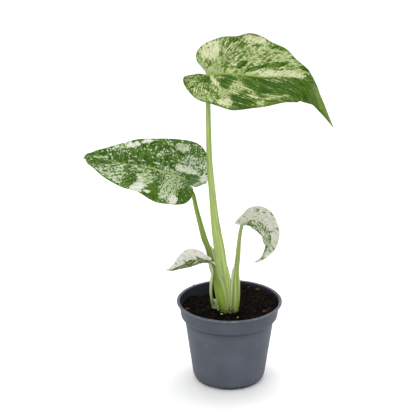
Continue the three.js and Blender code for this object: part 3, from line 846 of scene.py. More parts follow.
    def wall_radius(self, z: float) -> float:
        """Finds the wall's outer radius at a height.

        Args:
            z: The height.

        Returns:
            The radius.
        """
        stations = [self.heel, self.shoulder, self.collar_foot, (self.collar_top_radius, self.height)]
        for (low_r, low_z), (high_r, high_z) in zip(stations, stations[1:]):
            if z <= high_z:
                share = max(0.0, (z - low_z) / (high_z - low_z))
                return low_r + (high_r - low_r) * share
        return self.rim_radius

    def build(self) -> None:
        """Makes the pot piece."""
        bm = self.cut(self.shell())
        self.wear(bm)
        to_metres(bm)
        settle("pot_shell", bm, [self.finish.material()], ["pot"], MOULDED)


@dataclass(frozen=True)
class Swell:
    """A broad rise or dip in the soil's top."""

    x: float
    y: float
    spread: float
    rise: float


@dataclass
class Soil:
    """The soil, with crumbs, fibres, pale grains and bark bits at its top."""

    level: float = 87.4
    swells: tuple[Swell, ...] = (
        Swell(46, 10, 32, 4.2),
        Swell(17, 50, 17, 4.0),
        Swell(-27, 47, 22, -7.0),
        Swell(-54, 8, 20, -2.4),
        Swell(2, -18, 15, 0.8),
    )
    ripples: tuple[tuple[float, float, float, float], ...] = (
        (0.21, 0.13, 0.4, 0.55),
        (-0.12, 0.27, 1.9, 0.45),
        (0.39, -0.33, 3.1, 0.3),
    )
    # The crumbly layers: how wide their lumps are, which pattern, and how high.
    crumbling: tuple[Point, ...] = ((5.2, 3.1, 0.9), (2.0, 7.7, 0.62), (0.95, 1.3, 0.3))
    # Half section of the soil below its top: radius and height.
    under: tuple[Pair, ...] = (
        (53.2, 77.9), (48.9, 73.8), (39.8, 4.5), (37.2, 1.6), (34.0, 1.6), (31.4, 4.5), (17.6, 4.5), (15.1, 1.6),
    )
    collar_slope: float = 0.124
    sectors: int = 300
    rings: int = 64
    crumb_count: int = 620
    crumb_sizes: tuple[float, ...] = (0.5, 0.6, 0.8, 0.8, 1.1, 1.5)
    scatter_radius: float = 51.5
    rim_crumb: Point = (-40.6, 41.4, 95.0)
    fibre_count: int = 70
    fibre_steps: int = 4
    fibre_lengths: Pair = (2.5, 7.5)
    fibre_girths: Pair = (0.13, 0.3)
    fibre_taper: tuple[float, ...] = (0.5, 1, 1, 0.9, 0.4)
    # The stretch of the front right edge, as angles and radii, where every third fibre lies.
    front_angles: Pair = (-1.25, -0.1)
    front_radii: Pair = (44, 51)
    # The heaps at the stalks' feet: where, how wide and how many crumbs.
    heaps: tuple[tuple[float, float, float, int], ...] = (
        (10.5, -21.5, 4.0, 60),
        (6, -24, 2.5, 18),
        (-10, -24.5, 3.5, 40),
        (-1.5, -26, 2.0, 10),
        (-20, -14, 2.2, 10),
    )
    seed: int = 5
    finish: EarthFinish = EarthFinish()
    crumb_finish: EarthFinish = EarthFinish("soil_crumb", (12, 10, 7), (32, 25, 18), (62, 48, 34))
    fibre_finish: BitFinish = BitFinish("fibre", (88, 58, 36), (44, 28, 18), 500.0)

    def calm(self, x: float, y: float) -> float:
        """Finds the height of the soil's top without its crumbs.

        Args:
            x: Where, to the right.
            y: Where, to the back.

        Returns:
            The height.
        """
        z = self.level
        for swell in self.swells:
            far = math.hypot(x - swell.x, y - swell.y) / swell.spread
            z += swell.rise * math.exp(-far * far)
        for across, along, turn, rise in self.ripples:
            z += rise * math.sin(across * x + along * y + turn)
        return z

    def rough(self, x: float, y: float) -> float:
        """Finds the height of the soil's top with its crumbs.

        Args:
            x: Where, to the right.
            y: Where, to the back.

        Returns:
            The height.
        """
        z = self.calm(x, y)
        for width, layer, rise in self.crumbling:
            z += rise * noise.noise(Vector((x / width, y / width, layer)))
        return z

    def edge_radius(self, z: float) -> float:
        """Finds how far out the soil reaches at a height in the collar.

        Args:
            z: The height.

        Returns:
            The radius.
        """
        return self.under[0][0] + self.collar_slope * (z - self.under[0][1])

    def place(self, across: float, along: float) -> Vector:
        """Places a point of the soil's skin.

        Args:
            across: The share of the way round.
            along: The share from the top's middle to the bottom's.

        Returns:
            The point.
        """
        angle = math.tau * across
        turn = Vector((math.cos(angle), math.sin(angle)))
        top_share = self.rings / (self.rings + len(self.under) + 1)
        step = along * (self.rings + len(self.under) + 1)
        if along <= top_share + 1e-6:
            share = step / self.rings
            radius = self.edge_radius(self.level) * share
            if share < 1 - 1e-6:
                return Vector((radius * turn.x, radius * turn.y, self.rough(radius * turn.x, radius * turn.y)))
            z = self.calm(radius * turn.x, radius * turn.y) - 0.4
            radius = self.edge_radius(z)
            return Vector((radius * turn.x, radius * turn.y, z))
        index = round(step) - self.rings - 1
        radius, z = self.under[index] if index < len(self.under) else (0.0, self.under[-1][1])
        return Vector((radius * turn.x, radius * turn.y, z))

    def build(self) -> None:
        """Makes the soil and the crumbs and fibres in its top."""
        rows = self.rings + len(self.under) + 1
        bm = bent_grid(self.sectors, rows, self.place)
        face_out(bm)
        to_metres(bm)
        settle("soil_top", bm, [self.finish.material()], ["soil"], SEAMLESS)
        draws = random.Random(self.seed)
        self.crumbs(draws)
        self.fibres(draws)

    def crumbs(self, draws: random.Random) -> None:
        """Scatters loose crumbs over the soil's top, more of them towards the wall.

        Args:
            draws: Where the random numbers come from.
        """
        bm = bmesh.new()
        for _ in range(self.crumb_count):
            angle = draws.uniform(0, math.tau)
            radius = self.scatter_radius * math.sqrt(draws.random())
            x, y = radius * math.cos(angle), radius * math.sin(angle)
            size = draws.choice(self.crumb_sizes) * draws.uniform(0.8, 1.2)
            self.lump(bm, draws, Vector((x, y, self.rough(x, y) + 0.25 * size)), size, 0.7)
        # More of them lie heaped against the stalks' feet.
        for x, y, spread, count in self.heaps:
            for _ in range(count):
                angle, far = draws.uniform(0, math.tau), spread * math.sqrt(draws.random())
                spot = Vector((x + far * math.cos(angle), y + far * math.sin(angle), 0))
                size = draws.uniform(0.5, 1.0)
                spot.z = self.rough(spot.x, spot.y) + draws.uniform(0.2, 1.9) * (1 - 0.7 * far / spread)
                self.lump(bm, draws, spot, size, 0.8)
        # One crumb has come to lie on the rim, at the back left.
        self.lump(bm, draws, Vector(self.rim_crumb), 1.1, 0.7)
        to_metres(bm)
        settle("soil_crumbs", bm, [self.crumb_finish.material()], [])

    def lump(self, bm: bmesh.types.BMesh, draws: random.Random, place: Vector, size: float, squash: float) -> None:
        """Adds an uneven lump.

        Args:
            bm: What it is added to.
            draws: Where the random numbers come from.
            place: Its middle.
            size: Its radius.
            squash: Its height over its width.
        """
        made = bmesh.ops.create_icosphere(bm, subdivisions=1, radius=size)["verts"]
        for vert in made:
            vert.co *= draws.uniform(0.72, 1.22)
        bmesh.ops.scale(bm, vec=(draws.uniform(0.8, 1.4), 1.0, squash), verts=made)
        turn = Matrix.Rotation(draws.uniform(0, math.tau), 3, "Z") @ Matrix.Rotation(draws.uniform(-0.4, 0.4), 3, "X")
        bmesh.ops.rotate(bm, cent=(0, 0, 0), matrix=turn, verts=made)
        bmesh.ops.translate(bm, vec=place, verts=made)

    def fibres(self, draws: random.Random) -> None:
        """Scatters short bent fibres of bark and root over the soil's top.

        Args:
            draws: Where the random numbers come from.
        """
        bm = bmesh.new()
        for i in range(self.fibre_count):
            at_front = i % 3 == 0
            angle = draws.uniform(*self.front_angles) if at_front else draws.uniform(0, math.tau)
            radius = draws.uniform(*self.front_radii) if at_front else 50 * math.sqrt(draws.random())
            x, y = radius * math.cos(angle), radius * math.sin(angle)
            heading = draws.uniform(0, math.tau)
            length = draws.uniform(*self.fibre_lengths)
            girth = draws.uniform(*self.fibre_girths)
            hop = draws.uniform(0.1, 0.9)
            spots = []
            for step in range(self.fibre_steps + 1):
                heading += draws.uniform(-0.45, 0.45)
                lift = 0.35 + hop * math.sin(math.pi * step / self.fibre_steps)
                spots.append((x, y, max(self.rough(x, y), self.calm(x, y)) + lift))
                x += math.cos(heading) * length / self.fibre_steps
                y += math.sin(heading) * length / self.fibre_steps
                if math.hypot(x, y) > self.scatter_radius:
                    x, y = x * 0.96, y * 0.96
            Tube(tuple(spots), tuple((girth * share, girth * share) for share in self.fibre_taper), 4, 6).add_to(bm)
        to_metres(bm)
        settle("soil_fibres", bm, [self.fibre_finish.material()], [])


@dataclass(frozen=True)
class Bit:
    """A grain or bark bit that lies sunk in the soil's top in the place of its CAD node."""

    node: str
    x: float
    y: float
    radius: float
    squash: float
    turn: float
    finish: BitFinish
    slot: str
    seed: int
    lengthen: float = 1.35
    sunk: float = 0.35

    def build(self, soil: Soil) -> None:
        """Makes the bit.

        Args:
            soil: What it lies in.
        """
        bm = bmesh.new()
        bmesh.ops.create_icosphere(bm, subdivisions=4, radius=1.0)
        for vert in bm.verts:
            broad = noise.noise(vert.co * 1.4 + Vector((self.seed, 0, 0)))
            fine = noise.noise(vert.co * 4.5 + Vector((0, self.seed, 0)))
            vert.co *= 1 + 0.2 * broad + 0.07 * fine
        size = (self.radius * self.lengthen, self.radius, self.radius * self.squash)
        bmesh.ops.scale(bm, vec=size, verts=bm.verts)
        bmesh.ops.rotate(bm, cent=(0, 0, 0), matrix=Matrix.Rotation(math.radians(self.turn), 3, "Z"), verts=bm.verts)
        z = soil.calm(self.x, self.y) + self.radius * self.squash * self.sunk + 0.35
        bmesh.ops.translate(bm, vec=(self.x, self.y, z), verts=bm.verts)
        to_metres(bm)
        settle(self.node + "_bit", bm, [self.finish.material()], [self.node], SEAMLESS)


# Stalks


@dataclass(frozen=True)
class Tube:
    """A round or oval bar along a path, closed at both ends."""

    path: tuple[Point, ...]
    sizes: tuple[Pair, ...]
    sides: int
    rows: int

    def place(self, across: float, along: float) -> Vector:
        """Places a point of the bar's skin.

        Args:
            across: The share of the way round.
            along: The share of the way from its start to its end.

        Returns:
            The point.
        """
        course = Course(self.path)
        centre = course.at(along)
        step = 0.1 / len(self.path)
        tangent = (course.at(along + step) - course.at(along - step)).normalized()
        sideways = (Vector((1, 0, 0)) - tangent * tangent.x).normalized()
        forwards = tangent.cross(sideways)
        girth = Course(tuple((a, d, 0.0) for a, d in self.sizes)).at(along)
        # The first and the last ring close to a point.
        open_ring = 0.0 if along in (0.0, 1.0) else 1.0
        angle = math.tau * across
        return (
            centre
            + sideways * (girth.x * open_ring * math.cos(angle))
            + forwards * (girth.y * open_ring * math.sin(angle))
        )

    def add_to(self, bm: bmesh.types.BMesh) -> list[bmesh.types.BMVert]:
        """Adds the bar to a bmesh.

        Args:
            bm: What it is added to, in millimetres.

        Returns:
            The bar's points.
        """
        made = bmesh.ops.create_grid(bm, x_segments=self.sides, y_segments=self.rows, size=1.0)["verts"]
        for vert in made:
            vert.co = self.place((vert.co.x + 1) / 2, round((vert.co.y + 1) / 2, 6))
        bmesh.ops.remove_doubles(bm, verts=made, dist=MERGE)
        alive = [vert for vert in made if vert.is_valid]
        bmesh.ops.recalc_face_normals(bm, faces=list({face for vert in alive for face in vert.link_faces}))
        return alive


@dataclass(frozen=True)
class Fold(Tube):
    """A fold or margin of a sheath that lies on a stalk, and how far it is bleached."""

    paleness: float


@dataclass
class Stalk:
    """A leaf stalk from the crown to the blade, widened into a sheath at its foot."""

    node: str
    path: tuple[Point, ...]
    sizes: tuple[Pair, ...]
    finish: StalkFinish
    folds: tuple[Fold, ...] = ()
    sides: int = 48
    rows_per_span: int = 9
    soil_height: float = 87.0
    foot_height: float = 16.0
    ridge_depth: float = 0.16
    ridge_count: float = 3.0
    ridge_length: float = 60.0
    # Where the lower green begins to give way above the soil, and where it ends.
    low_span: Pair = (5.0, 80.0)
    samples: int = 200
    # Edges shorter than this are dissolved, since they leave faces of no area.
    speck: float = 1e-3

    def build(self, blade: "Blade") -> None:
        """Makes the stalk and marks how far round and up each of its points is.

        Args:
            blade: The blade that the stalk ends under.
        """
        bm = bmesh.new()
        Tube(self.path, self.sizes, self.sides, (len(self.path) - 1) * self.rows_per_span).add_to(bm)
        around = bm.verts.layers.float_vector.new("round")
        foot = bm.verts.layers.float.new("foot")
        lowness = bm.verts.layers.float.new("lowness")
        bleach = bm.verts.layers.float.new("bleach")
        course = Course(self.path)
        spots = [course.at(i / self.samples) for i in range(self.samples + 1)]
        for vert in bm.verts:
            # Shallow lengthwise ridges, as a sheathed stalk has.
            away = (vert.co - min(spots, key=lambda spot: (spot - vert.co).length_squared)).normalized()
            ridge = noise.noise(
                Vector((away.x * self.ridge_count, away.y * self.ridge_count, vert.co.z / self.ridge_length))
            )
            vert.co += away * (self.ridge_depth * 2 * ridge)
        for fold in self.folds:
            for vert in fold.add_to(bm):
                vert[bleach] = fold.paleness
        low, high = (self.soil_height + above for above in self.low_span)
        for vert in bm.verts:
            away = (vert.co - min(spots, key=lambda spot: (spot - vert.co).length_squared)).normalized()
            vert[around] = Vector((away.x, away.y, vert.co.z))
            vert[foot] = 1 - smoothstep(vert.co.z, self.soil_height, self.soil_height + self.foot_height)
            vert[lowness] = 1 - smoothstep(vert.co.z, low, high)
            vert.co = blade.under(vert.co)
        bmesh.ops.dissolve_degenerate(bm, edges=bm.edges, dist=self.speck)
        to_metres(bm)
        settle(self.node + "_skin", bm, [self.finish.material()], [self.node], SEAMLESS)


# Blades


class Side(Enum):
    """The two halves of a blade, as seen from its stalk."""

    LEFT = 1
    RIGHT = -1


class Tone(Enum):
    """A field of a blade's tissue: how far it is pale, how light its green is and how creamy its pale flecks."""

    DEEP = (-3.1, 0.12, 0.06)
    DARK = (-3.4, 0.18, 0.35)
    LEAF = (-4.6, 0.35, 0.4)
    LIGHT = (-5.0, 0.95, 0.4)
    SHADED = (-2.1, 0.22, 0.42)
    GREEN = (-1.7, 0.4, 0.55)
    MIXED = (-0.3, 0.45, 0.5)
    MINT = (0.6, 0.55, 0.3)
    PALE = (1.3, 0.65, 0.5)
    CREAM = (2.4, 0.75, 0.8)
    WHITE = (3.2, 0.75, 1.0)


@dataclass(frozen=True)
class Patch:
    """A soft-edged field of one tone: its middle along and across the blade, half sizes, turn, and how much painted
    sheen lies over it.
    """

    along: float
    across: float
    reach: float
    spread: float
    tone: Tone
    turn: float = 0.0
    painted_sheen: float = 0.0

    def share(self, along: float, across: float) -> float:
        """Finds how much the patch covers a point.

        Args:
            along: How far along the blade.
            across: How far across it, to the left.

        Returns:
            From 0 to 1.
        """
        turn = math.radians(self.turn)
        x, y = along - self.along, across - self.across
        u = (x * math.cos(turn) + y * math.sin(turn)) / self.reach
        v = (y * math.cos(turn) - x * math.sin(turn)) / self.spread
        return 1 - smoothstep(math.hypot(u, v), 0.7, 1.25)


@dataclass(frozen=True)
class Half:
    """One half of a blade: its fold at the base and the tip, its curl, ground tone and outline.

    Its streaking says how far its tissue breaks into streaks and not flecks, and its lean how far those
    streaks turn towards the tip, each at the stalk and at the tip.
    """

    fold: Pair
    curl: float
    ground: Tone
    outline: tuple[Pair, ...]
    streaking: Pair = (0.6, 0.6)
    lean: Pair = (0.0, 0.0)


@dataclass
class Blade:
    """A heart-shaped blade, bent along its midrib and waved at its margin, by the source's own formula."""

    node: str
    midrib: tuple[Point, ...]
    across_base: Point
    across_tip: Point
    halves: dict[Side, Half]
    patches: tuple[Patch, ...]
    finish: LeafFinish
    fold_span: Pair = (0.0, 1.0)
    lobe_rise: float = 0.01
    wave_height: float = 1.2
    wave_count: float = 4.5
    wave_turn: float = 0.6
    thickness: float = 0.7
    rib_depth: float = 2.0
    rib_radius: float = 1.9
    vein_pairs: int = 13
    vein_depth: float = 0.28
    quilting: float = 0.3
    columns: int = 40
    rows_per_span: int = 12
    vein_slant: float = 0.75
    vein_step: float = 0.002
    vein_lag: float = 0.25
    vein_lead: float = 0.15
    rib_taper: float = 0.8
    rib_lead: float = 4.0
    rib_fade: float = 0.8
    green_margin: float = 0.0
    groove_width: float = 0.1
    crease_width: float = 1.3
    crease_share: float = 0.8
    rib_room: float = 0.3
    rib_narrowing: float = 0.6
    edge_thinning: float = 0.25
    column_ease: float = 0.4
    # How the patches' edges wander: how far, how wide the swells are, and the patterns along and across.
    wander: tuple[tuple[float, float, float, float], ...] = ((2.6, 9.0, 4.3, 31.7), (1.2, 3.2, 9.1, 52.9))
    # How near the blade a stalk's point is looked at, how far beside it one is left alone, and how far
    # under the blade's upper side the others are tucked.
    search: float = 12.0
    beside: float = 0.4
    tuck: float = 0.35
    samples: int = 600

    def __post_init__(self) -> None:
        """Measures the midrib and prepares the rows."""
        course = Course(self.midrib)
        dense = [course.at(i / self.samples) for i in range(self.samples + 1)]
        lengths = [0.0]
        for start, end in zip(dense, dense[1:]):
            lengths.append(lengths[-1] + (end - start).length)
        self.length = lengths[-1]
        spots = []
        index = 0
        for i in range(self.samples + 1):
            wanted = self.length * i / self.samples
            while index < self.samples - 1 and lengths[index + 1] < wanted:
                index += 1
            part = (wanted - lengths[index]) / (lengths[index + 1] - lengths[index])
            spots.append(dense[index].lerp(dense[index + 1], part))
        self.frames: list[tuple[Vector, Vector, Vector]] = []
        base, tip = Vector(self.across_base), Vector(self.across_tip)
        for i, spot in enumerate(spots):
            tangent = (spots[min(i + 1, self.samples)] - spots[max(i - 1, 0)]).normalized()
            left = base.lerp(tip, i / self.samples)
            left = (left - tangent * left.dot(tangent)).normalized()
            self.frames.append((spot, tangent, left))
        end = (self.length, 0.0)
        self.outlines = {side: Course((*half.outline, end), runs_on=False) for side, half in self.halves.items()}
        self.row_count = len(self.halves[Side.LEFT].outline) * self.rows_per_span
        self.stations = self.vein_stations()

    def vein_stations(self) -> list[float]:
        """Lists where on the midrib each row of the blade starts.

        Returns:
            The lengths along the midrib.
        """
        stations: list[float] = []
        step = self.vein_step * self.length * 4 / self.rows_per_span
        for row in range(self.row_count + 1):
            left = self.outlines[Side.LEFT].at(row / self.row_count)
            right = self.outlines[Side.RIGHT].at(row / self.row_count)
            vein = (left.x + right.x) / 2 - self.vein_slant * (left.y + right.y) / 2
            stations.append(min(max(stations[-1] + step, vein), self.length) if stations else 0.0)
        stations[-1] = self.length
        return stations

    def frame_at(self, along: float) -> tuple[Vector, Vector, Vector]:
        """Finds the midrib's point at a length along it, with two of its directions.

        Args:
            along: The length; below 0 it runs on straight behind the stalk.

        Returns:
            The point, and the ways to the left and up.
        """
        place = min(max(along / self.length, 0.0), 1.0) * self.samples
        i = min(int(place), self.samples - 1)
        (spot_a, way_a, left_a), (spot_b, way_b, left_b) = self.frames[i], self.frames[i + 1]
        part = place - i
        spot, way, left = spot_a.lerp(spot_b, part), way_a.lerp(way_b, part), left_a.lerp(left_b, part)
        if along < 0:
            spot = spot + way * along
        return spot, left, way.cross(left)

    def surface(self, side: Side, along: float, across: float, lift: float) -> Vector:
        """Places a point of the blade.

        Args:
            side: The half.
            along: How far along the midrib.
            across: How far from it.
            lift: How far above the bent middle surface.

        Returns:
            The point.
        """
        half = self.halves[side]
        spot, left, up = self.frame_at(along)
        base, tip = half.fold
        share = min(max(along / self.length, 0.0), 1.0)
        fold = math.radians(base + (tip - base) * smoothstep(share, *self.fold_span))
        curl = math.radians(half.curl) / 10 or 1e-6
        slope = fold + curl * across
        outwards = (math.sin(slope) - math.sin(fold)) / curl
        upwards = (math.cos(fold) - math.cos(slope)) / curl
        lobe = self.lobe_rise * along * along if along < 0 else 0.0
        normal = up * math.cos(slope) - left * (side.value * math.sin(slope))
        return spot + left * (side.value * outwards) + up * (upwards + lobe) + normal * lift

    def spread(self, across: float, along: float) -> tuple[Side, float, float, float, float]:
        """Turns a grid point's shares into its place on the flat blade.

        Args:
            across: From 0 at the right margin to 1 at the left.
            along: From 0 at the stalk to 1 at the tip.

        Returns:
            The half, the length along, the distance across, the share of the half, and the vein's start.
        """
        signed = 2 * across - 1
        side = Side.LEFT if signed >= 0 else Side.RIGHT
        # The columns lie closer together towards the midrib, where the rib needs them.
        b = abs(signed) * (self.column_ease + (1 - self.column_ease) * abs(signed))
        station = self.stations[min(round(along * self.row_count), self.row_count)]
        edge = self.outlines[side].at(along)
        length = station + (edge.x - station) * (b - self.vein_lag * b * (1 - b))
        width = edge.y * (b + self.vein_lead * b * (1 - b))
        return side, length, width, b, station

    def ripple(self, side: Side, t: float, b: float, width: float) -> float:
        """Finds how far the margin's waves and the veins' relief lift the surface.

        Args:
            side: The half.
            t: The row's share of the way to the tip.
            b: The point's share of the way to the margin.
            width: How far it is from the midrib.

        Returns:
            The lift.
        """
        wave = self.wave_height * b * b * math.sin(math.pi * t)
        lift = wave * math.sin(2 * math.pi * self.wave_count * t + self.wave_turn * (1 + side.value))
        phase = (t * self.vein_pairs + (0.0 if side is Side.LEFT else 0.5)) % 1.0
        away = min(phase, 1 - phase)
        ends = math.sin(math.pi * min(1.0, max(0.0, t))) ** 0.5 if 0 < t < 1 else 0.0
        room = smoothstep(abs(width), 0.5, 6.0) * (1 - smoothstep(b, 0.8, 1.0)) * ends
        groove = -self.vein_depth * math.exp(-((away / self.groove_width) ** 2))
        pillow = self.quilting * math.sin(math.pi * away) ** 2
        crease = -self.crease_share * self.vein_depth * math.exp(-((width / self.crease_width) ** 2))
        return lift + room * (groove + pillow) + crease

    def body(self, t: float, b: float, width: float, station: float) -> float:
        """Finds how thick the blade is at a point, with its rib.

        Args:
            t: The row's share of the way to the tip.
            b: The point's share of the way to the margin.
            width: How far it is from the midrib.
            station: Where on the midrib its row starts.

        Returns:
            The thickness.
        """
        reach = min(
            math.hypot(self.outlines[side].at(t).x - station, self.outlines[side].at(t).y) for side in Side
        )
        room = min(1.0, self.rib_room * reach / self.rib_radius, station / self.rib_lead)
        depth = self.rib_depth * (1 - self.rib_taper * station / self.length) * max(0.0, room)
        radius = self.rib_radius * (1 - self.rib_narrowing * station / self.length)
        rib = depth * math.sqrt(max(0.0, 1 - min(1.0, abs(width) / radius) ** 2)) if depth > 0 else 0.0
        thin = self.edge_thinning * b * (math.sin(math.pi * t) if 0 < t < 1 else 0.0)
        return self.thickness * (1 - thin) + rib

    def sway(self, length: float, across: float, grain: float, layer: float) -> float:
        """Finds how far a patch's edge wanders at a point, the same in each run.

        Args:
            length: How far along the blade.
            across: How far across it, to the left.
            grain: How far apart the swells are.
            layer: Which of the patterns.

        Returns:
            From -1 to 1.
        """
        return noise.noise(Vector((length / grain, across / grain, layer + self.finish.seed)))

    def tissue(self, side: Side, length: float, width: float) -> tuple[float, float, float, float]:
        """Finds what the tissue is like at a point.

        Args:
            side: The half.
            length: How far along the blade.
            width: How far across it, in its own half.

        Returns:
            How far it is pale, how light its green is, how creamy its pale flecks are, and how much painted sheen lies
            over it.
        """
        across = width * side.value
        x, y = length, across
        for swing, grain, layer_along, layer_across in self.wander:
            x += swing * self.sway(length, across, grain, layer_along)
            y += swing * self.sway(length, across, grain, layer_across)
        mix = Vector((*self.halves[side].ground.value, 0.0))
        for patch in self.patches:
            if patch.across * side.value >= -1:
                mix = mix.lerp(Vector((*patch.tone.value, patch.painted_sheen)), patch.share(x, y))
        return tuple(mix)

    def upper_point(self, across: float, along: float) -> Vector:
        """Places a point of the blade's upper face.

        Args:
            across: From 0 at the right margin to 1 at the left.
            along: From 0 at the stalk to 1 at the tip.

        Returns:
            The point.
        """
        side, length, width, b, _ = self.spread(across, along)
        return self.surface(side, length, width, self.ripple(side, along, b, width) + self.thickness / 2)

    def lower_point(self, across: float, along: float) -> Vector:
        """Places a point of the blade's under face, which the rib thickens.

        Args:
            across: From 0 at the right margin to 1 at the left.
            along: From 0 at the stalk to 1 at the tip.

        Returns:
            The point.
        """
        side, length, width, b, station = self.spread(across, along)
        lift = self.ripple(side, along, b, width) + self.thickness / 2 - self.body(along, b, width, station)
        return self.surface(side, length, width, lift)

    def mark(self, bm: bmesh.types.BMesh) -> None:
        """Marks the tissue, the rib and the flat blade's coordinates on the mesh's points.

        Args:
            bm: The blade's upper sheet, with its shares of the grid.
        """
        across, along = bm.verts.layers.float["across"], bm.verts.layers.float["along"]
        # The last of these carries the painted sheen.
        tones = [bm.verts.layers.float.new(name) for name in ("paleness", "green_shade", "pale_shade", "painted_sheen")]
        rib, streaking = (bm.verts.layers.float.new(name) for name in ("rib", "streaking"))
        flat, veins = (bm.verts.layers.float_vector.new(name) for name in ("flat", "veins"))
        for vert in bm.verts:
            side, length, width, b, station = self.spread(vert[across], vert[along])
            for tone, value in zip(tones, self.tissue(side, length, width)):
                vert[tone] = value
            vert[tones[0]] -= self.green_margin * smoothstep(b, 0.93, 1.0)
            share = station / self.length
            rib_width = self.rib_radius * (1.15 - share) * 0.85
            shows = smoothstep(station, 0.0, 2.0) * smoothstep(length, -2.0, 1.0)
            shows *= 1 - self.rib_fade * smoothstep(share, 0.2, 0.6)
            vert[rib] = (1 - smoothstep(abs(width), 0.3 * rib_width, rib_width)) * shows
            vert[flat] = Vector((length, width * side.value, 0))
            half, far = self.halves[side], math.hypot(length - station, width)
            vert[streaking] = half.streaking[0] + (half.streaking[1] - half.streaking[0]) * vert[along]
            lean = half.lean[0] + (half.lean[1] - half.lean[0]) * vert[along]
            vert[veins] = Vector((vert[along] * self.length - lean * far, far * side.value, 0))

    def build(self) -> None:
        """Makes the blade: a bent and marked upper sheet, thickened downwards with its rib."""
        bm = bent_grid(2 * self.columns, self.row_count, self.upper_point)
        self.mark(bm)
        self.face_up(bm)
        self.tree = BVHTree.FromBMesh(bm)
        across, along = bm.verts.layers.float["across"], bm.verts.layers.float["along"]
        made = bmesh.ops.extrude_face_region(bm, geom=bm.faces[:], use_keep_orig=True)["geom"]
        lower = {item for item in made if isinstance(item, bmesh.types.BMVert)}
        for vert in lower:
            vert.co = self.lower_point(vert[across], vert[along])
        for face in bm.faces:
            face.material_index = 1 if all(vert in lower for vert in face.verts) else 0
        face_out(bm)
        to_metres(bm)
        materials = [self.finish.upper(), self.finish.lower()]
        settle(self.node + "_tissue", bm, materials, [self.node], MOULDED)

    def face_up(self, bm: bmesh.types.BMesh) -> None:
        """Turns the faces so that they look the way the blade's upper side does.

        Args:
            bm: The blade's upper sheet, in millimetres.
        """
        bm.normal_update()
        spot, _, up = self.frame_at(self.length / 3)
        middle = min(bm.faces, key=lambda face: (face.calc_center_median() - spot).length)
        if middle.normal.dot(up) < 0:
            bmesh.ops.reverse_faces(bm, faces=bm.faces)

    def under(self, point: Vector) -> Vector:
        """Presses a point that would stick up through the blade to just under its upper side.

        Args:
            point: The point, in millimetres.

        Returns:
            The point, or its place under the blade.
        """
        spot, normal, _, far = self.tree.find_nearest(point, self.search)
        if spot is None:
            return point
        height = (point - spot).dot(normal)
        sideways = math.sqrt(max(0.0, far * far - height * height))
        if sideways > self.beside or height < -self.tuck:
            return point
        return spot - normal * self.tuck


# The plant's own sizes, in millimetres, as in the part's source but for a few margins, one stalk and the grains


def tall_stalk() -> Stalk:
    """Gives the longest stalk, which the others lean on.

    Returns:
        The stalk.
    """
    return Stalk(
        node="stalk_tall",
        path=(
            (-2, -18, 80), (-3.5, -18, 91), (-5.5, -17.5, 107), (-8.5, -16.5, 133), (-11.5, -15.5, 160.5),
            (-14.5, -14.5, 180.5), (-17, -13.5, 200.5), (-19.5, -12, 227.5), (-22.5, -9.5, 260.5),
            (-23.5, -6, 293.5), (-24, -2.5, 322.5), (-24.5, 0, 340.5), (-22.5, 3, 355),
        ),
        sizes=(
            (6, 5.2), (6.4, 5.8), (6.9, 6), (6.8, 5.4), (6, 4.8), (5.3, 4.4), (4.5, 3.9), (3.7, 3.4), (3.1, 3),
            (2.7, 2.7), (2.5, 2.5), (2.5, 2.5), (2.7, 2.7),
        ),
        finish=StalkFinish("stalk_tall", (158, 181, 94), (194, 207, 143), shade=(122, 145, 60), seed=1.0),
        folds=(
            # The side that the right stalk's sheath lies against.
            Fold(
                path=(
                    (-3.2, -15.8, 142), (-1.6, -16.6, 133), (-0.4, -17.4, 124), (0.3, -18.2, 112),
                    (0.4, -18.6, 98), (0.4, -18.6, 84),
                ),
                sizes=((1.0, 1.6), (1.5, 2.2), (1.8, 2.6), (1.9, 3.0), (1.9, 3.2), (1.9, 3.2)),
                sides=24,
                rows=50,
                paleness=0.0,
            ),
        ),
    )


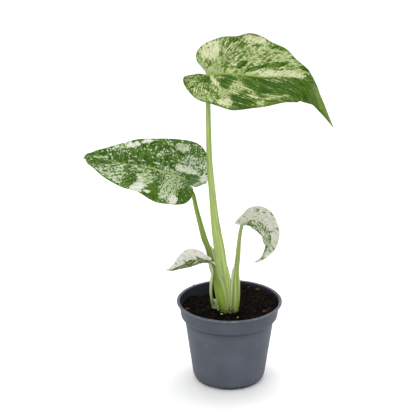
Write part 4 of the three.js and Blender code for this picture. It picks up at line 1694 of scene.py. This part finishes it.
def left_stalk() -> Stalk:
    """Gives the darker stalk of the left leaf, with the tip of its sheath halfway up.

    Returns:
        The stalk.
    """
    return Stalk(
        node="stalk_left",
        path=(
            (-5, -21, 80), (-6, -21, 91), (-8, -21, 99), (-10, -20.5, 108), (-13, -19, 122), (-16, -17.5, 133),
            (-19.8, -16, 146), (-22.6, -14, 157.5), (-25.2, -12.4, 165.5), (-28.2, -11.5, 173.5), (-33.5, -9.5, 193.5),
            (-37, -8.5, 207.5), (-40.4, -7, 222.5), (-46.5, -4.5, 230.5), (-51.8, -5.6, 242),
        ),
        sizes=(
            (4.6, 4.4), (5, 4.8), (5.4, 5), (5.7, 5), (5.2, 4.8), (4.6, 4.4), (4.0, 3.8), (3.2, 3.2), (3.1, 3),
            (3.3, 2.8), (2.8, 2.6), (2.5, 2.4), (2.3, 2.2), (2.2, 2.1), (2.3, 2.2),
        ),
        finish=StalkFinish(
            "stalk_left", (114, 142, 48), (154, 176, 90), low=(124, 151, 42), shade=(96, 120, 38), seed=2.0
        ),
        folds=(
            # The sheath's near flap, which wraps on to the tall stalk, and its bleached edge.
            Fold(
                path=(
                    (-16, -19.8, 141), (-13.2, -20.8, 133), (-10.5, -22, 125), (-8.2, -23, 115),
                    (-6.2, -23.4, 105), (-4.4, -23.4, 95), (-3.4, -23.4, 84),
                ),
                sizes=((0.8, 0.4), (2.0, 1.2), (2.8, 1.5), (2.9, 1.6), (2.6, 1.6), (2.4, 1.6), (2.2, 1.5)),
                sides=24,
                rows=60,
                paleness=0.0,
            ),
            Fold(
                path=(
                    (-15.6, -19.6, 144), (-12.2, -21, 135.5), (-8.6, -22.8, 126), (-5.7, -23.7, 116),
                    (-3.8, -24.2, 106), (-2.1, -24.2, 96), (-1.4, -24.2, 84),
                ),
                sizes=((1.5, 0.5), (2.7, 0.7), (2.3, 0.7), (1.4, 0.6), (0.8, 0.6), (0.6, 0.6), (0.5, 0.5)),
                sides=16,
                rows=60,
                paleness=0.28,
            ),
            # The tip of the sheath, which stands off the stalk.
            Fold(
                path=(
                    (-21.9, -14.2, 165.6), (-19.6, -14.4, 162), (-17.9, -15.2, 156.5), (-16.9, -16.8, 150),
                    (-15.6, -19, 143.5),
                ),
                sizes=((0.5, 0.4), (1.3, 0.7), (1.6, 0.9), (1.5, 0.9), (1.0, 0.6)),
                sides=20,
                rows=44,
                paleness=0.8,
            ),
        ),
    )


def right_stalk() -> Stalk:
    """Gives the short stalk of the right leaf, with the pale margin of its sheath.

    Returns:
        The stalk.
    """
    return Stalk(
        node="stalk_right",
        path=(
            (5.5, -19, 80), (5.5, -18.5, 91), (6.5, -18, 106), (6.5, -16.5, 121), (6.5, -15.5, 131),
            (7.5, -14, 138.5), (9, -13, 153.5), (10, -12.5, 168.5), (11.5, -12, 181.5), (14, -12.5, 192),
        ),
        sizes=(
            (4.2, 4), (4.6, 4.6), (5, 4.8), (5, 4.2), (4.2, 3.2), (3, 2.6), (2.6, 2.4), (2.2, 2.1), (2, 1.9),
            (1.9, 1.8),
        ),
        finish=StalkFinish(
            "stalk_right", (138, 158, 80), (182, 196, 132), low=(147, 173, 74), shade=(104, 126, 50), seed=3.0
        ),
        folds=(
            # The bleached edge of the sheath, from its rounded tip down to the soil.
            Fold(
                path=(
                    (5.6, -15.4, 142.5), (4.0, -16.4, 137), (2.8, -18.2, 129), (2.2, -19.8, 120), (1.8, -21, 109),
                    (1.4, -21.9, 97), (1.2, -22, 84),
                ),
                sizes=((0.6, 0.5), (1.4, 0.9), (1.4, 1.2), (1.1, 1.3), (0.9, 1.4), (0.8, 1.5), (0.8, 1.5)),
                sides=20,
                rows=60,
                paleness=0.7,
            ),
        ),
    )


def low_left_stalk() -> Stalk:
    """Gives the thin pale stalk of the lowest leaf, with the membrane that arches over at its foot.

    Returns:
        The stalk.
    """
    return Stalk(
        node="stalk_low_left",
        path=(
            (-9.5, -15, 75.5), (-14.5, -10, 81.5), (-18, -7, 88.5), (-19.5, -11.5, 97.5), (-21, -18, 113),
            (-20.5, -23, 128), (-19.5, -25.5, 139), (-21, -26, 146), (-24, -25.2, 153.2),
        ),
        sizes=((2, 2), (2, 2), (1.9, 1.9), (1.7, 1.7), (1.5, 1.5), (1.4, 1.4), (1.3, 1.3), (1.3, 1.3), (1.3, 1.3)),
        finish=StalkFinish(
            "stalk_low_left", (190, 204, 150), (214, 222, 184), low=(176, 194, 118), shade=(150, 168, 104),
            staining=0.35, seed=4.0,
        ),
        sides=28,
        ridge_depth=0.05,
        folds=(
            # The membrane at its foot and the bleached edge that arches over from the stalk.
            Fold(
                path=((-18.5, -9.5, 100), (-17, -10.5, 95), (-16, -11, 90), (-15.5, -11, 82)),
                sizes=((0.6, 0.4), (2.2, 0.5), (2.8, 0.5), (2.6, 0.5)),
                sides=20,
                rows=36,
                paleness=0.1,
            ),
            Fold(
                path=(
                    (-19.5, -11, 96.5), (-17.8, -11.8, 99.6), (-15.6, -12.6, 98.8), (-13.8, -13.2, 95),
                    (-12.8, -13.6, 90), (-12.4, -14, 83),
                ),
                sizes=((0.9, 0.5), (1.3, 0.7), (1.5, 0.8), (1.4, 0.8), (1.2, 0.7), (1, 0.6)),
                sides=20,
                rows=54,
                paleness=1.0,
            ),
            # The tip of its sheath beside the blade's base.
            Fold(
                path=((-23, -25, 151.6), (-20.4, -24.6, 150.6), (-17.8, -23.6, 149), (-16.2, -22.6, 146.6)),
                sizes=((0.8, 0.8), (1.3, 1.1), (1.2, 0.9), (0.5, 0.4)),
                sides=16,
                rows=28,
                paleness=0.9,
            ),
        ),
    )


def tall_blade() -> Blade:
    """Gives the largest blade, mint and cream on its far half, which hangs over at its tip.

    Returns:
        The blade.
    """
    return Blade(
        node="blade_tall",
        midrib=(
            (-25.5, 4, 352.5), (-9.5, 1, 354.5), (8.5, -2, 354.5), (34, -6, 352.5), (58, -9, 353.5),
            (75.5, -11, 351.5), (84, -10, 345), (89.5, -6, 334.5), (94, -2, 322.5), (101, 2, 311), (111.5, 8, 294),
        ),
        across_base=(0.12, 0.86, 0.51),
        across_tip=(0.12, 0.86, 0.51),
        fold_span=(0.42, 0.72),
        halves={
            Side.LEFT: Half(
                fold=(8, 0),
                curl=0.5,
                ground=Tone.MINT,
                outline=(
                    (0, 0), (-2.5, 5.5), (-7, 12.5), (-12, 20), (-12, 31), (-4, 44.8), (12, 51), (27, 49.8),
                    (41, 56), (61, 51.8), (80, 40.2), (93, 23.5), (106, 16.5), (120, 16), (138, 13), (156, 7),
                ),
            ),
            Side.RIGHT: Half(
                fold=(-1, -10),
                curl=-0.5,
                ground=Tone.GREEN,
                outline=(
                    (0, 0), (-5, -1.2), (-11, -2), (-17, 0), (-22.5, 7), (-21.5, 17.5), (-11.5, 30), (3, 40.2),
                    (18, 48.8), (36, 51.4), (58, 43), (81, 38.7), (101.5, 33.3), (115, 25.4), (134.5, 11), (148, 6),
                ),
                streaking=(0.15, 0.8),
                lean=(0.0, 1.25),
            ),
        },
        wave_height=2.2,
        rib_depth=2.4,
        rib_radius=2.0,
        green_margin=3.2,
        patches=(
            Patch(2, 33, 12, 14, Tone.CREAM),
            Patch(-1, 15, 4, 8, Tone.MIXED),
            Patch(1, 14, 2.0, 6.0, Tone.GREEN, -20),
            Patch(25, 29, 14, 24, Tone.MIXED),
            Patch(22.5, 45, 5, 3, Tone.DARK),
            Patch(35, 44, 3, 7, Tone.GREEN, -25),
            Patch(36, 13, 4.5, 7, Tone.DARK, -25),
            Patch(20, 10, 4, 6, Tone.GREEN, -15),
            Patch(66, 38, 24, 15, Tone.MINT),
            Patch(47, 50, 12, 5, Tone.CREAM),
            Patch(88, 27, 8, 6, Tone.PALE),
            Patch(47, 42, 3, 2, Tone.GREEN),
            Patch(66, 42, 5, 2, Tone.GREEN),
            Patch(77, 37.5, 9, 3, Tone.DARK, -25),
            Patch(66, 22, 3.5, 1.5, Tone.DARK),
            Patch(62, 12, 24, 6, Tone.MIXED, 10),
            Patch(68, 15.5, 20, 2.6, Tone.DARK, 9),
            Patch(47, 8, 7, 3, Tone.DARK, 40),
            Patch(80, 4.5, 28, 5, Tone.CREAM),
            Patch(78.5, 10, 4, 1.4, Tone.DARK),
            Patch(101, 14.5, 6, 3, Tone.DARK),
            Patch(106, 5, 2.5, 9, Tone.GREEN, -20),
            Patch(121, 7, 15, 11, Tone.LEAF),
            Patch(120, 10, 8, 4, Tone.DARK, 40),
            Patch(150, 4, 28, 10, Tone.LIGHT),
            Patch(-8, -15, 15, 15, Tone.GREEN),
            Patch(0, -8, 5, 5, Tone.DARK, -60),
            Patch(-12, -18, 8, 10, Tone.MIXED),
            Patch(10, -11, 11, 3.6, Tone.CREAM, -60),
            Patch(12, -31, 22, 13, Tone.MINT),
            Patch(5, -22, 9, 3, Tone.GREEN, -50),
            Patch(16, -32, 6, 2.5, Tone.GREEN, -50),
            Patch(23, -12, 6, 10, Tone.DARK, 10),
            Patch(37, -17, 9, 11, Tone.MINT),
            Patch(24, -42, 9, 5, Tone.CREAM),
            Patch(44, -37, 12, 12, Tone.DARK),
            Patch(53, -26, 7, 5, Tone.MIXED, -40),
            Patch(62, -38, 4, 5, Tone.PALE),
            Patch(59, -12, 20, 12, Tone.DEEP, -15),
            Patch(98, -15, 25, 17, Tone.DEEP),
            Patch(112, -12, 14, 6, Tone.LEAF),
            Patch(78, -30, 12, 1.8, Tone.PALE, 5),
            Patch(122, -12, 13, 10, Tone.LEAF),
            Patch(142, -6, 22, 8, Tone.LEAF),
            Patch(140, 0, 26, 0.9, Tone.LIGHT),
        ),
        finish=LeafFinish(
            "blade_tall", ((37, 73, 0), (109, 137, 42)), ((138, 159, 88), (206, 206, 168)), (130, 155, 70), seed=3.0,
        ),
    )


def left_blade() -> Blade:
    """Gives the second blade, darker green, with white patches towards its margins.

    Returns:
        The blade.
    """
    return Blade(
        node="blade_left",
        midrib=(
            (-49.5, -5, 239.5), (-68.5, -2.5, 246), (-91.5, -0.5, 252), (-115.5, 2.5, 255), (-139.5, 7, 259),
            (-150.5, 8, 261), (-156.5, 9, 261.5), (-160.5, 10, 258),
        ),
        across_base=(-0.1, -0.88, -0.47),
        across_tip=(-0.1, -0.88, -0.47),
        halves={
            Side.LEFT: Half(
                fold=(4, 4),
                curl=0,
                ground=Tone.GREEN,
                outline=(
                    (0, 0), (-5.5, 5), (-11.5, 10.8), (-14, 17), (-14, 28), (-9, 39), (2, 45.5), (16, 48.4),
                    (31, 46.8), (43, 42.8), (58, 39), (72, 32), (85, 26.5), (97, 19.5), (105, 13), (111, 6),
                ),
                streaking=(0.35, 0.35),
            ),
            Side.RIGHT: Half(
                fold=(4, 4),
                curl=0,
                ground=Tone.SHADED,
                outline=(
                    (0, 0), (-5, -3.1), (-10.5, -6.4), (-15, -6.2), (-20, -3.6), (-24.5, 4), (-23.5, 19), (-16, 37),
                    (-5, 51), (9, 55.2), (26, 50), (46, 41), (66, 34.6), (82, 26), (97, 13.5), (108, 4.5),
                ),
                streaking=(0.35, 0.35),
            ),
        },
        wave_height=1.2,
        wave_turn=2.1,
        rib_fade=0.62,
        green_margin=1.5,
        # Some of these patches carry a painted bluish sheen.
        patches=(
            Patch(10, 22, 12, 22, Tone.MINT),
            Patch(-7, 25, 7, 14, Tone.DARK),
            Patch(3.5, 37.5, 4.5, 8, Tone.WHITE),
            Patch(15, 33, 6, 9, Tone.PALE),
            Patch(11.5, 44.5, 4, 2.5, Tone.GREEN),
            Patch(30, 36, 9.5, 11.5, Tone.LEAF),
            Patch(29, 26, 5.5, 5, Tone.DARK),
            Patch(34, 39, 3, 2, Tone.WHITE),
            Patch(43, 24, 9, 18, Tone.MINT, -20),
            Patch(47, 35, 9, 8, Tone.WHITE),
            Patch(48.5, 18, 3, 5, Tone.PALE),
            Patch(57, 24, 7, 11, Tone.DARK),
            Patch(60, 12, 4, 7, Tone.GREEN),
            Patch(78, 17, 15, 12, Tone.MIXED),
            Patch(71, 27, 7, 4.5, Tone.PALE, -20),
            Patch(68, 10, 3, 6, Tone.MINT),
            Patch(93, 16, 5.5, 4.5, Tone.MIXED, painted_sheen=0.15),
            Patch(93, 4.5, 13, 3.5, Tone.DARK),
            Patch(-17, -1, 7, 12, Tone.MINT, painted_sheen=0.15),
            Patch(-9, -1, 5.5, 6.5, Tone.DARK, painted_sheen=0.2),
            Patch(-20, -8, 4.5, 7, Tone.WHITE),
            Patch(-9, -27, 12, 12, Tone.MIXED, painted_sheen=0.15),
            Patch(-18, -26, 3.5, 10, Tone.PALE, painted_sheen=0.15),
            Patch(2, -13, 13, 5.5, Tone.CREAM),
            Patch(17.5, -4, 12, 3, Tone.MIXED, painted_sheen=0.25),
            Patch(5, -27, 7, 8, Tone.MIXED, painted_sheen=0.2),
            Patch(30, -24, 16, 15, Tone.SHADED),
            Patch(48, -15, 7, 6, Tone.DARK),
            Patch(33, -21, 3, 5, Tone.MINT),
            Patch(72, -27, 16, 4.5, Tone.PALE, 24),
            Patch(64, -29, 8, 4, Tone.WHITE, 20),
            Patch(49, -36, 6, 2.5, Tone.WHITE, 20),
            Patch(52, -31, 2, 2, Tone.DARK),
            Patch(78, -11, 22, 8, Tone.SHADED),
            Patch(97, -2, 8, 2, Tone.PALE, 8),
            Patch(104, -5, 6, 3, Tone.LEAF),
            Patch(2, -43, 12, 8, Tone.GREEN),
            Patch(15, -42, 7, 6, Tone.PALE, painted_sheen=0.18),
            Patch(33, -43, 12, 4.5, Tone.GREEN),
        ),
        finish=LeafFinish(
            "blade_left", ((42, 76, 4), (98, 132, 42)), ((148, 170, 110), (211, 214, 200)), (152, 174, 112),
            fleck_grain=(0.62, 0.30), crispness=1.4, seed=11.0,
        ),
    )


def low_left_blade() -> Blade:
    """Gives the small folded blade at the lower left, nearly white on its far half.

    Returns:
        The blade.
    """
    return Blade(
        node="blade_low_left",
        midrib=(
            (-22.5, -24.5, 152), (-30.5, -24.5, 153), (-37.5, -24.5, 152), (-46.5, -24.5, 149), (-54.5, -25, 146),
            (-63.5, -25, 142), (-71.5, -25, 141),
        ),
        across_base=(0, -0.89, -0.47),
        across_tip=(0, -0.89, -0.47),
        halves={
            Side.LEFT: Half(
                fold=(36, 30),
                curl=-1,
                ground=Tone.PALE,
                outline=(
                    (0, 0), (-2, 1.6), (-3.4, 4), (-2.2, 7.6), (1.8, 11.8), (7.4, 15.6), (14.2, 18), (21.4, 18.2),
                    (28.6, 15.8), (34.8, 11.6), (40.6, 6.6), (45.4, 2.8),
                ),
            ),
            Side.RIGHT: Half(
                fold=(27, 24),
                curl=1,
                ground=Tone.WHITE,
                outline=(
                    (0, 0), (-1.6, 1), (-2, 2.4), (-0.4, 3.8), (2.6, 5), (6.4, 7.4), (11, 11.4), (16.5, 14.8),
                    (23, 15), (30, 12), (37, 7.6), (44, 3),
                ),
            ),
        },
        lobe_rise=0.02,
        wave_height=0.5,
        wave_count=3.0,
        wave_turn=0.3,
        thickness=0.6,
        rib_depth=0.8,
        rib_radius=1.1,
        vein_depth=0.15,
        quilting=0.12,
        vein_pairs=9,
        columns=24,
        patches=(
            Patch(20, 9, 32, 13, Tone.GREEN),
            Patch(22, 0.6, 20, 2.4, Tone.GREEN),
            Patch(3, 4, 2.5, 9, Tone.DARK, -20),
            Patch(13, 5, 2.2, 8, Tone.MINT, -15),
            Patch(14.5, 9.5, 1.8, 3.5, Tone.MIXED, -10),
            Patch(18, 4, 2.2, 9, Tone.DARK, -15),
            Patch(22, 2.5, 2, 5, Tone.MINT, -10),
            Patch(25.5, 7, 1.6, 6, Tone.DARK, -10),
            Patch(33, 3, 6, 9, Tone.GREEN),
            Patch(39, 6, 3, 4, Tone.LEAF),
            Patch(13, -2.6, 2.2, 1.0, Tone.MIXED),
            Patch(26.5, -2.2, 1.6, 1.0, Tone.MIXED),
            Patch(25.5, -9, 1.0, 1.4, Tone.MIXED),
            Patch(20.5, -5, 1.0, 0.9, Tone.MIXED),
            Patch(36, -4, 1.0, 1.2, Tone.MIXED),
        ),
        finish=LeafFinish(
            "blade_low_left", ((48, 82, 2), (106, 132, 42)), ((178, 186, 152), (236, 235, 226)), (176, 188, 152),
            (0.9, 0.14), (1.1, 0.7), crispness=1.3, seed=21.0,
        ),
    )


def right_blade() -> Blade:
    """Gives the small blade at the right, which hangs over in an arc with its pale half outside.

    Returns:
        The blade.
    """
    return Blade(
        node="blade_right",
        midrib=(
            (12.5, -11.5, 189.5), (19.5, -13.5, 194.5), (26.5, -15, 196), (33.5, -17.5, 194), (39.5, -19.5, 189),
            (43.5, -21.5, 184), (44.5, -24, 177), (43.5, -26, 170), (39.5, -28.5, 163), (33.5, -29.5, 156),
            (25.5, -30.5, 151.5),
        ),
        across_base=(0.1, 0.77, 0.63),
        across_tip=(0.85, 0.18, -0.51),
        halves={
            Side.LEFT: Half(
                fold=(8, 8),
                curl=0,
                ground=Tone.CREAM,
                outline=(
                    (0, 0), (-3.6, 1.6), (-7, 4.6), (-4, 7.4), (0, 10), (6, 12.8), (13, 16.4), (21, 19),
                    (30, 18), (40, 12.4), (51, 8.6), (66, 4),
                ),
            ),
            Side.RIGHT: Half(
                fold=(8, 8),
                curl=0,
                ground=Tone.MINT,
                outline=(
                    (0, 0), (-1.8, 0.9), (-2.4, 2.4), (-0.4, 3.8), (3.6, 5.2), (9, 8.4), (16, 12.6), (25, 15.8),
                    (36, 16.6), (48, 13), (58, 6.4), (68, 2.6),
                ),
            ),
        },
        lobe_rise=0.02,
        wave_height=0.6,
        wave_count=3.5,
        wave_turn=1.2,
        thickness=0.6,
        rib_depth=1.0,
        rib_radius=1.2,
        vein_depth=0.15,
        quilting=0.12,
        vein_pairs=10,
        columns=26,
        patches=(
            Patch(-2.5, 5, 1.6, 1.2, Tone.GREEN),
            Patch(5, 6.5, 1.2, 0.9, Tone.DARK),
            Patch(6, 13, 14, 1.0, Tone.MIXED, 24),
            Patch(17, 13, 0.6, 1.1, Tone.DARK, -20),
            Patch(17.5, 9, 0.6, 0.9, Tone.DARK),
            Patch(22.5, 14, 1.4, 0.8, Tone.GREEN),
            Patch(27, 18.5, 1.6, 0.8, Tone.DARK),
            Patch(16, 3.5, 4, 1.0, Tone.MIXED, 40),
            Patch(38, 8, 1.0, 3, Tone.MIXED, -15),
            Patch(42, 7, 0.9, 0.9, Tone.GREEN),
            Patch(56, 4, 6, 2.4, Tone.PALE),
            Patch(72, 1.4, 5, 1.4, Tone.GREEN),
            Patch(11, -5.5, 2.5, 3, Tone.DARK, -50),
            Patch(16, -3, 5, 3, Tone.MIXED, -25),
            Patch(24, -3.5, 6, 3.4, Tone.MIXED, -35),
            Patch(24, -2.5, 3, 1.4, Tone.GREEN, -35),
            Patch(18, -9.5, 8, 1.2, Tone.DARK, -18),
            Patch(33, -3, 8, 2.6, Tone.MIXED, -10),
            Patch(44, -1.2, 8, 1.2, Tone.DARK, -6),
            Patch(43, -3.2, 1.2, 0.9, Tone.DARK),
            Patch(29, -15.5, 4.5, 1.4, Tone.DARK),
            Patch(36, -12, 4, 3, Tone.CREAM),
            Patch(44, -12.5, 2.2, 1.2, Tone.GREEN),
            Patch(46, -7, 9, 3, Tone.MINT),
            Patch(57, -4, 2.2, 1.6, Tone.DARK, 30),
        ),
        finish=LeafFinish(
            "blade_right", ((68, 94, 36), (124, 148, 82)), ((168, 178, 148), (210, 209, 197)), (176, 186, 148),
            (1.1, 0.2), (1.3, 0.9), crispness=1.3, seed=31.0,
        ),
    )


GRAIN = BitFinish("grain", (226, 220, 204), (176, 168, 148))
YELLOW_GRAIN = BitFinish("yellow_grain", (204, 186, 130), (150, 130, 84))
GREY_GRAIN = BitFinish("grey_grain", (84, 74, 60), (52, 44, 34))
BARK = BitFinish("bark", (94, 66, 40), (48, 33, 22), 500.0)
BITS = (
    Bit("grain_1", -8.8, -27.6, 1.15, 0.7, 20, GRAIN, "grain", 1),
    Bit("grain_2", 9, -31.8, 1.05, 0.8, 65, YELLOW_GRAIN, "grain", 2),
    Bit("grain_3", 23.5, 45, 1.1, 0.6, 10, GREY_GRAIN, "grain", 3),
    Bit("bark_1", -47.5, -8.5, 2.2, 0.45, 35, BARK, "bark", 4),
    Bit("bark_2", 33.5, 38, 2.0, 0.5, 150, BARK, "bark", 5),
    Bit("bark_3", 39, -19, 2.1, 0.4, 80, BARK, "bark", 6),
)


# Studio


@dataclass(frozen=True)
class Lamp:
    """A soft rectangular lamp, in metres and watts."""

    name: str
    place: Point
    aim: Point
    size: Pair
    power: float

    def build(self) -> None:
        """Hangs the lamp and turns it to its aim."""
        light = bpy.data.lights.new(self.name, "AREA")
        light.shape = "RECTANGLE"
        light.size, light.size_y = self.size
        light.energy = self.power
        lamp = bpy.data.objects.new(self.name, light)
        lamp.location = self.place
        lamp.rotation_euler = (Vector(self.aim) - Vector(self.place)).to_track_quat("-Z", "Y").to_euler()
        bpy.context.collection.objects.link(lamp)


@dataclass
class Studio:
    """The pale floor, the soft light and the camera, in metres."""

    floor_size: float = 14.0
    floor: FloorFinish = field(default_factory=FloorFinish)
    sky: float = 1.0
    eye: Point = (-0.0241046, -1.1894476, 0.6191089)
    tilt: float = 70.7836
    lens: float = 99.09
    sensor: float = 36.0
    lamps: tuple[Lamp, ...] = (
        Lamp("key", (-0.9, -1.2, 1.3), (0, 0, 0.2), (1.2, 1.2), 5.0),
        Lamp("fill", (1.3, -1.0, 0.8), (0, 0, 0.2), (1.2, 1.2), 1.5),
        Lamp("top", (0.0, 0.4, 1.7), (0, 0, 0.05), (1.2, 0.8), 14.0),
    )

    def build(self) -> None:
        """Lays the floor, hangs the lamps and sets up the camera."""
        bm = bmesh.new()
        bmesh.ops.create_grid(bm, x_segments=2, y_segments=2, size=self.floor_size / 2)
        mesh = bpy.data.meshes.new("floor")
        bm.to_mesh(mesh)
        bm.free()
        mesh.materials.append(self.floor.material())
        floor = bpy.data.objects.new("floor", mesh)
        bpy.context.collection.objects.link(floor)
        for lamp in self.lamps:
            lamp.build()
        world = bpy.data.worlds.new("studio")
        world.use_nodes = True
        background = next(node for node in world.node_tree.nodes if node.type == "BACKGROUND")
        background.inputs["Color"].default_value = (1.0, 1.0, 1.0, 1.0)
        background.inputs["Strength"].default_value = self.sky
        scene = bpy.context.scene
        scene.world = world
        scene.view_settings.view_transform = "Standard"
        camera = bpy.data.cameras.new("camera")
        camera.lens = self.lens
        camera.sensor_width = self.sensor
        eye = bpy.data.objects.new("camera", camera)
        eye.location = self.eye
        eye.rotation_euler = (math.radians(self.tilt), 0.0, 0.0)
        bpy.context.collection.objects.link(eye)
        scene.camera = eye


def dress_crown() -> None:
    """Gives the buried crown and its roots their material."""
    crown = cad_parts["crown"]
    for slot in crown.material_slots:
        slot.material = BitFinish("root", (188, 170, 120), (140, 118, 76), 300.0, 0.7).material()


def main() -> None:
    """Builds every piece, then the floor, the light and the camera."""
    logging.basicConfig(level=logging.INFO, format="%(name)s %(message)s")
    Pot().build()
    soil = Soil()
    soil.build()
    for bit in BITS:
        bit.build(soil)
    pairs = (
        (tall_stalk(), tall_blade()),
        (left_stalk(), left_blade()),
        (right_stalk(), right_blade()),
        (low_left_stalk(), low_left_blade()),
    )
    for stalk, blade in pairs:
        blade.build()
        stalk.build(blade)
    dress_crown()
    Studio().build()


if __name__ == "__main__":
    main()
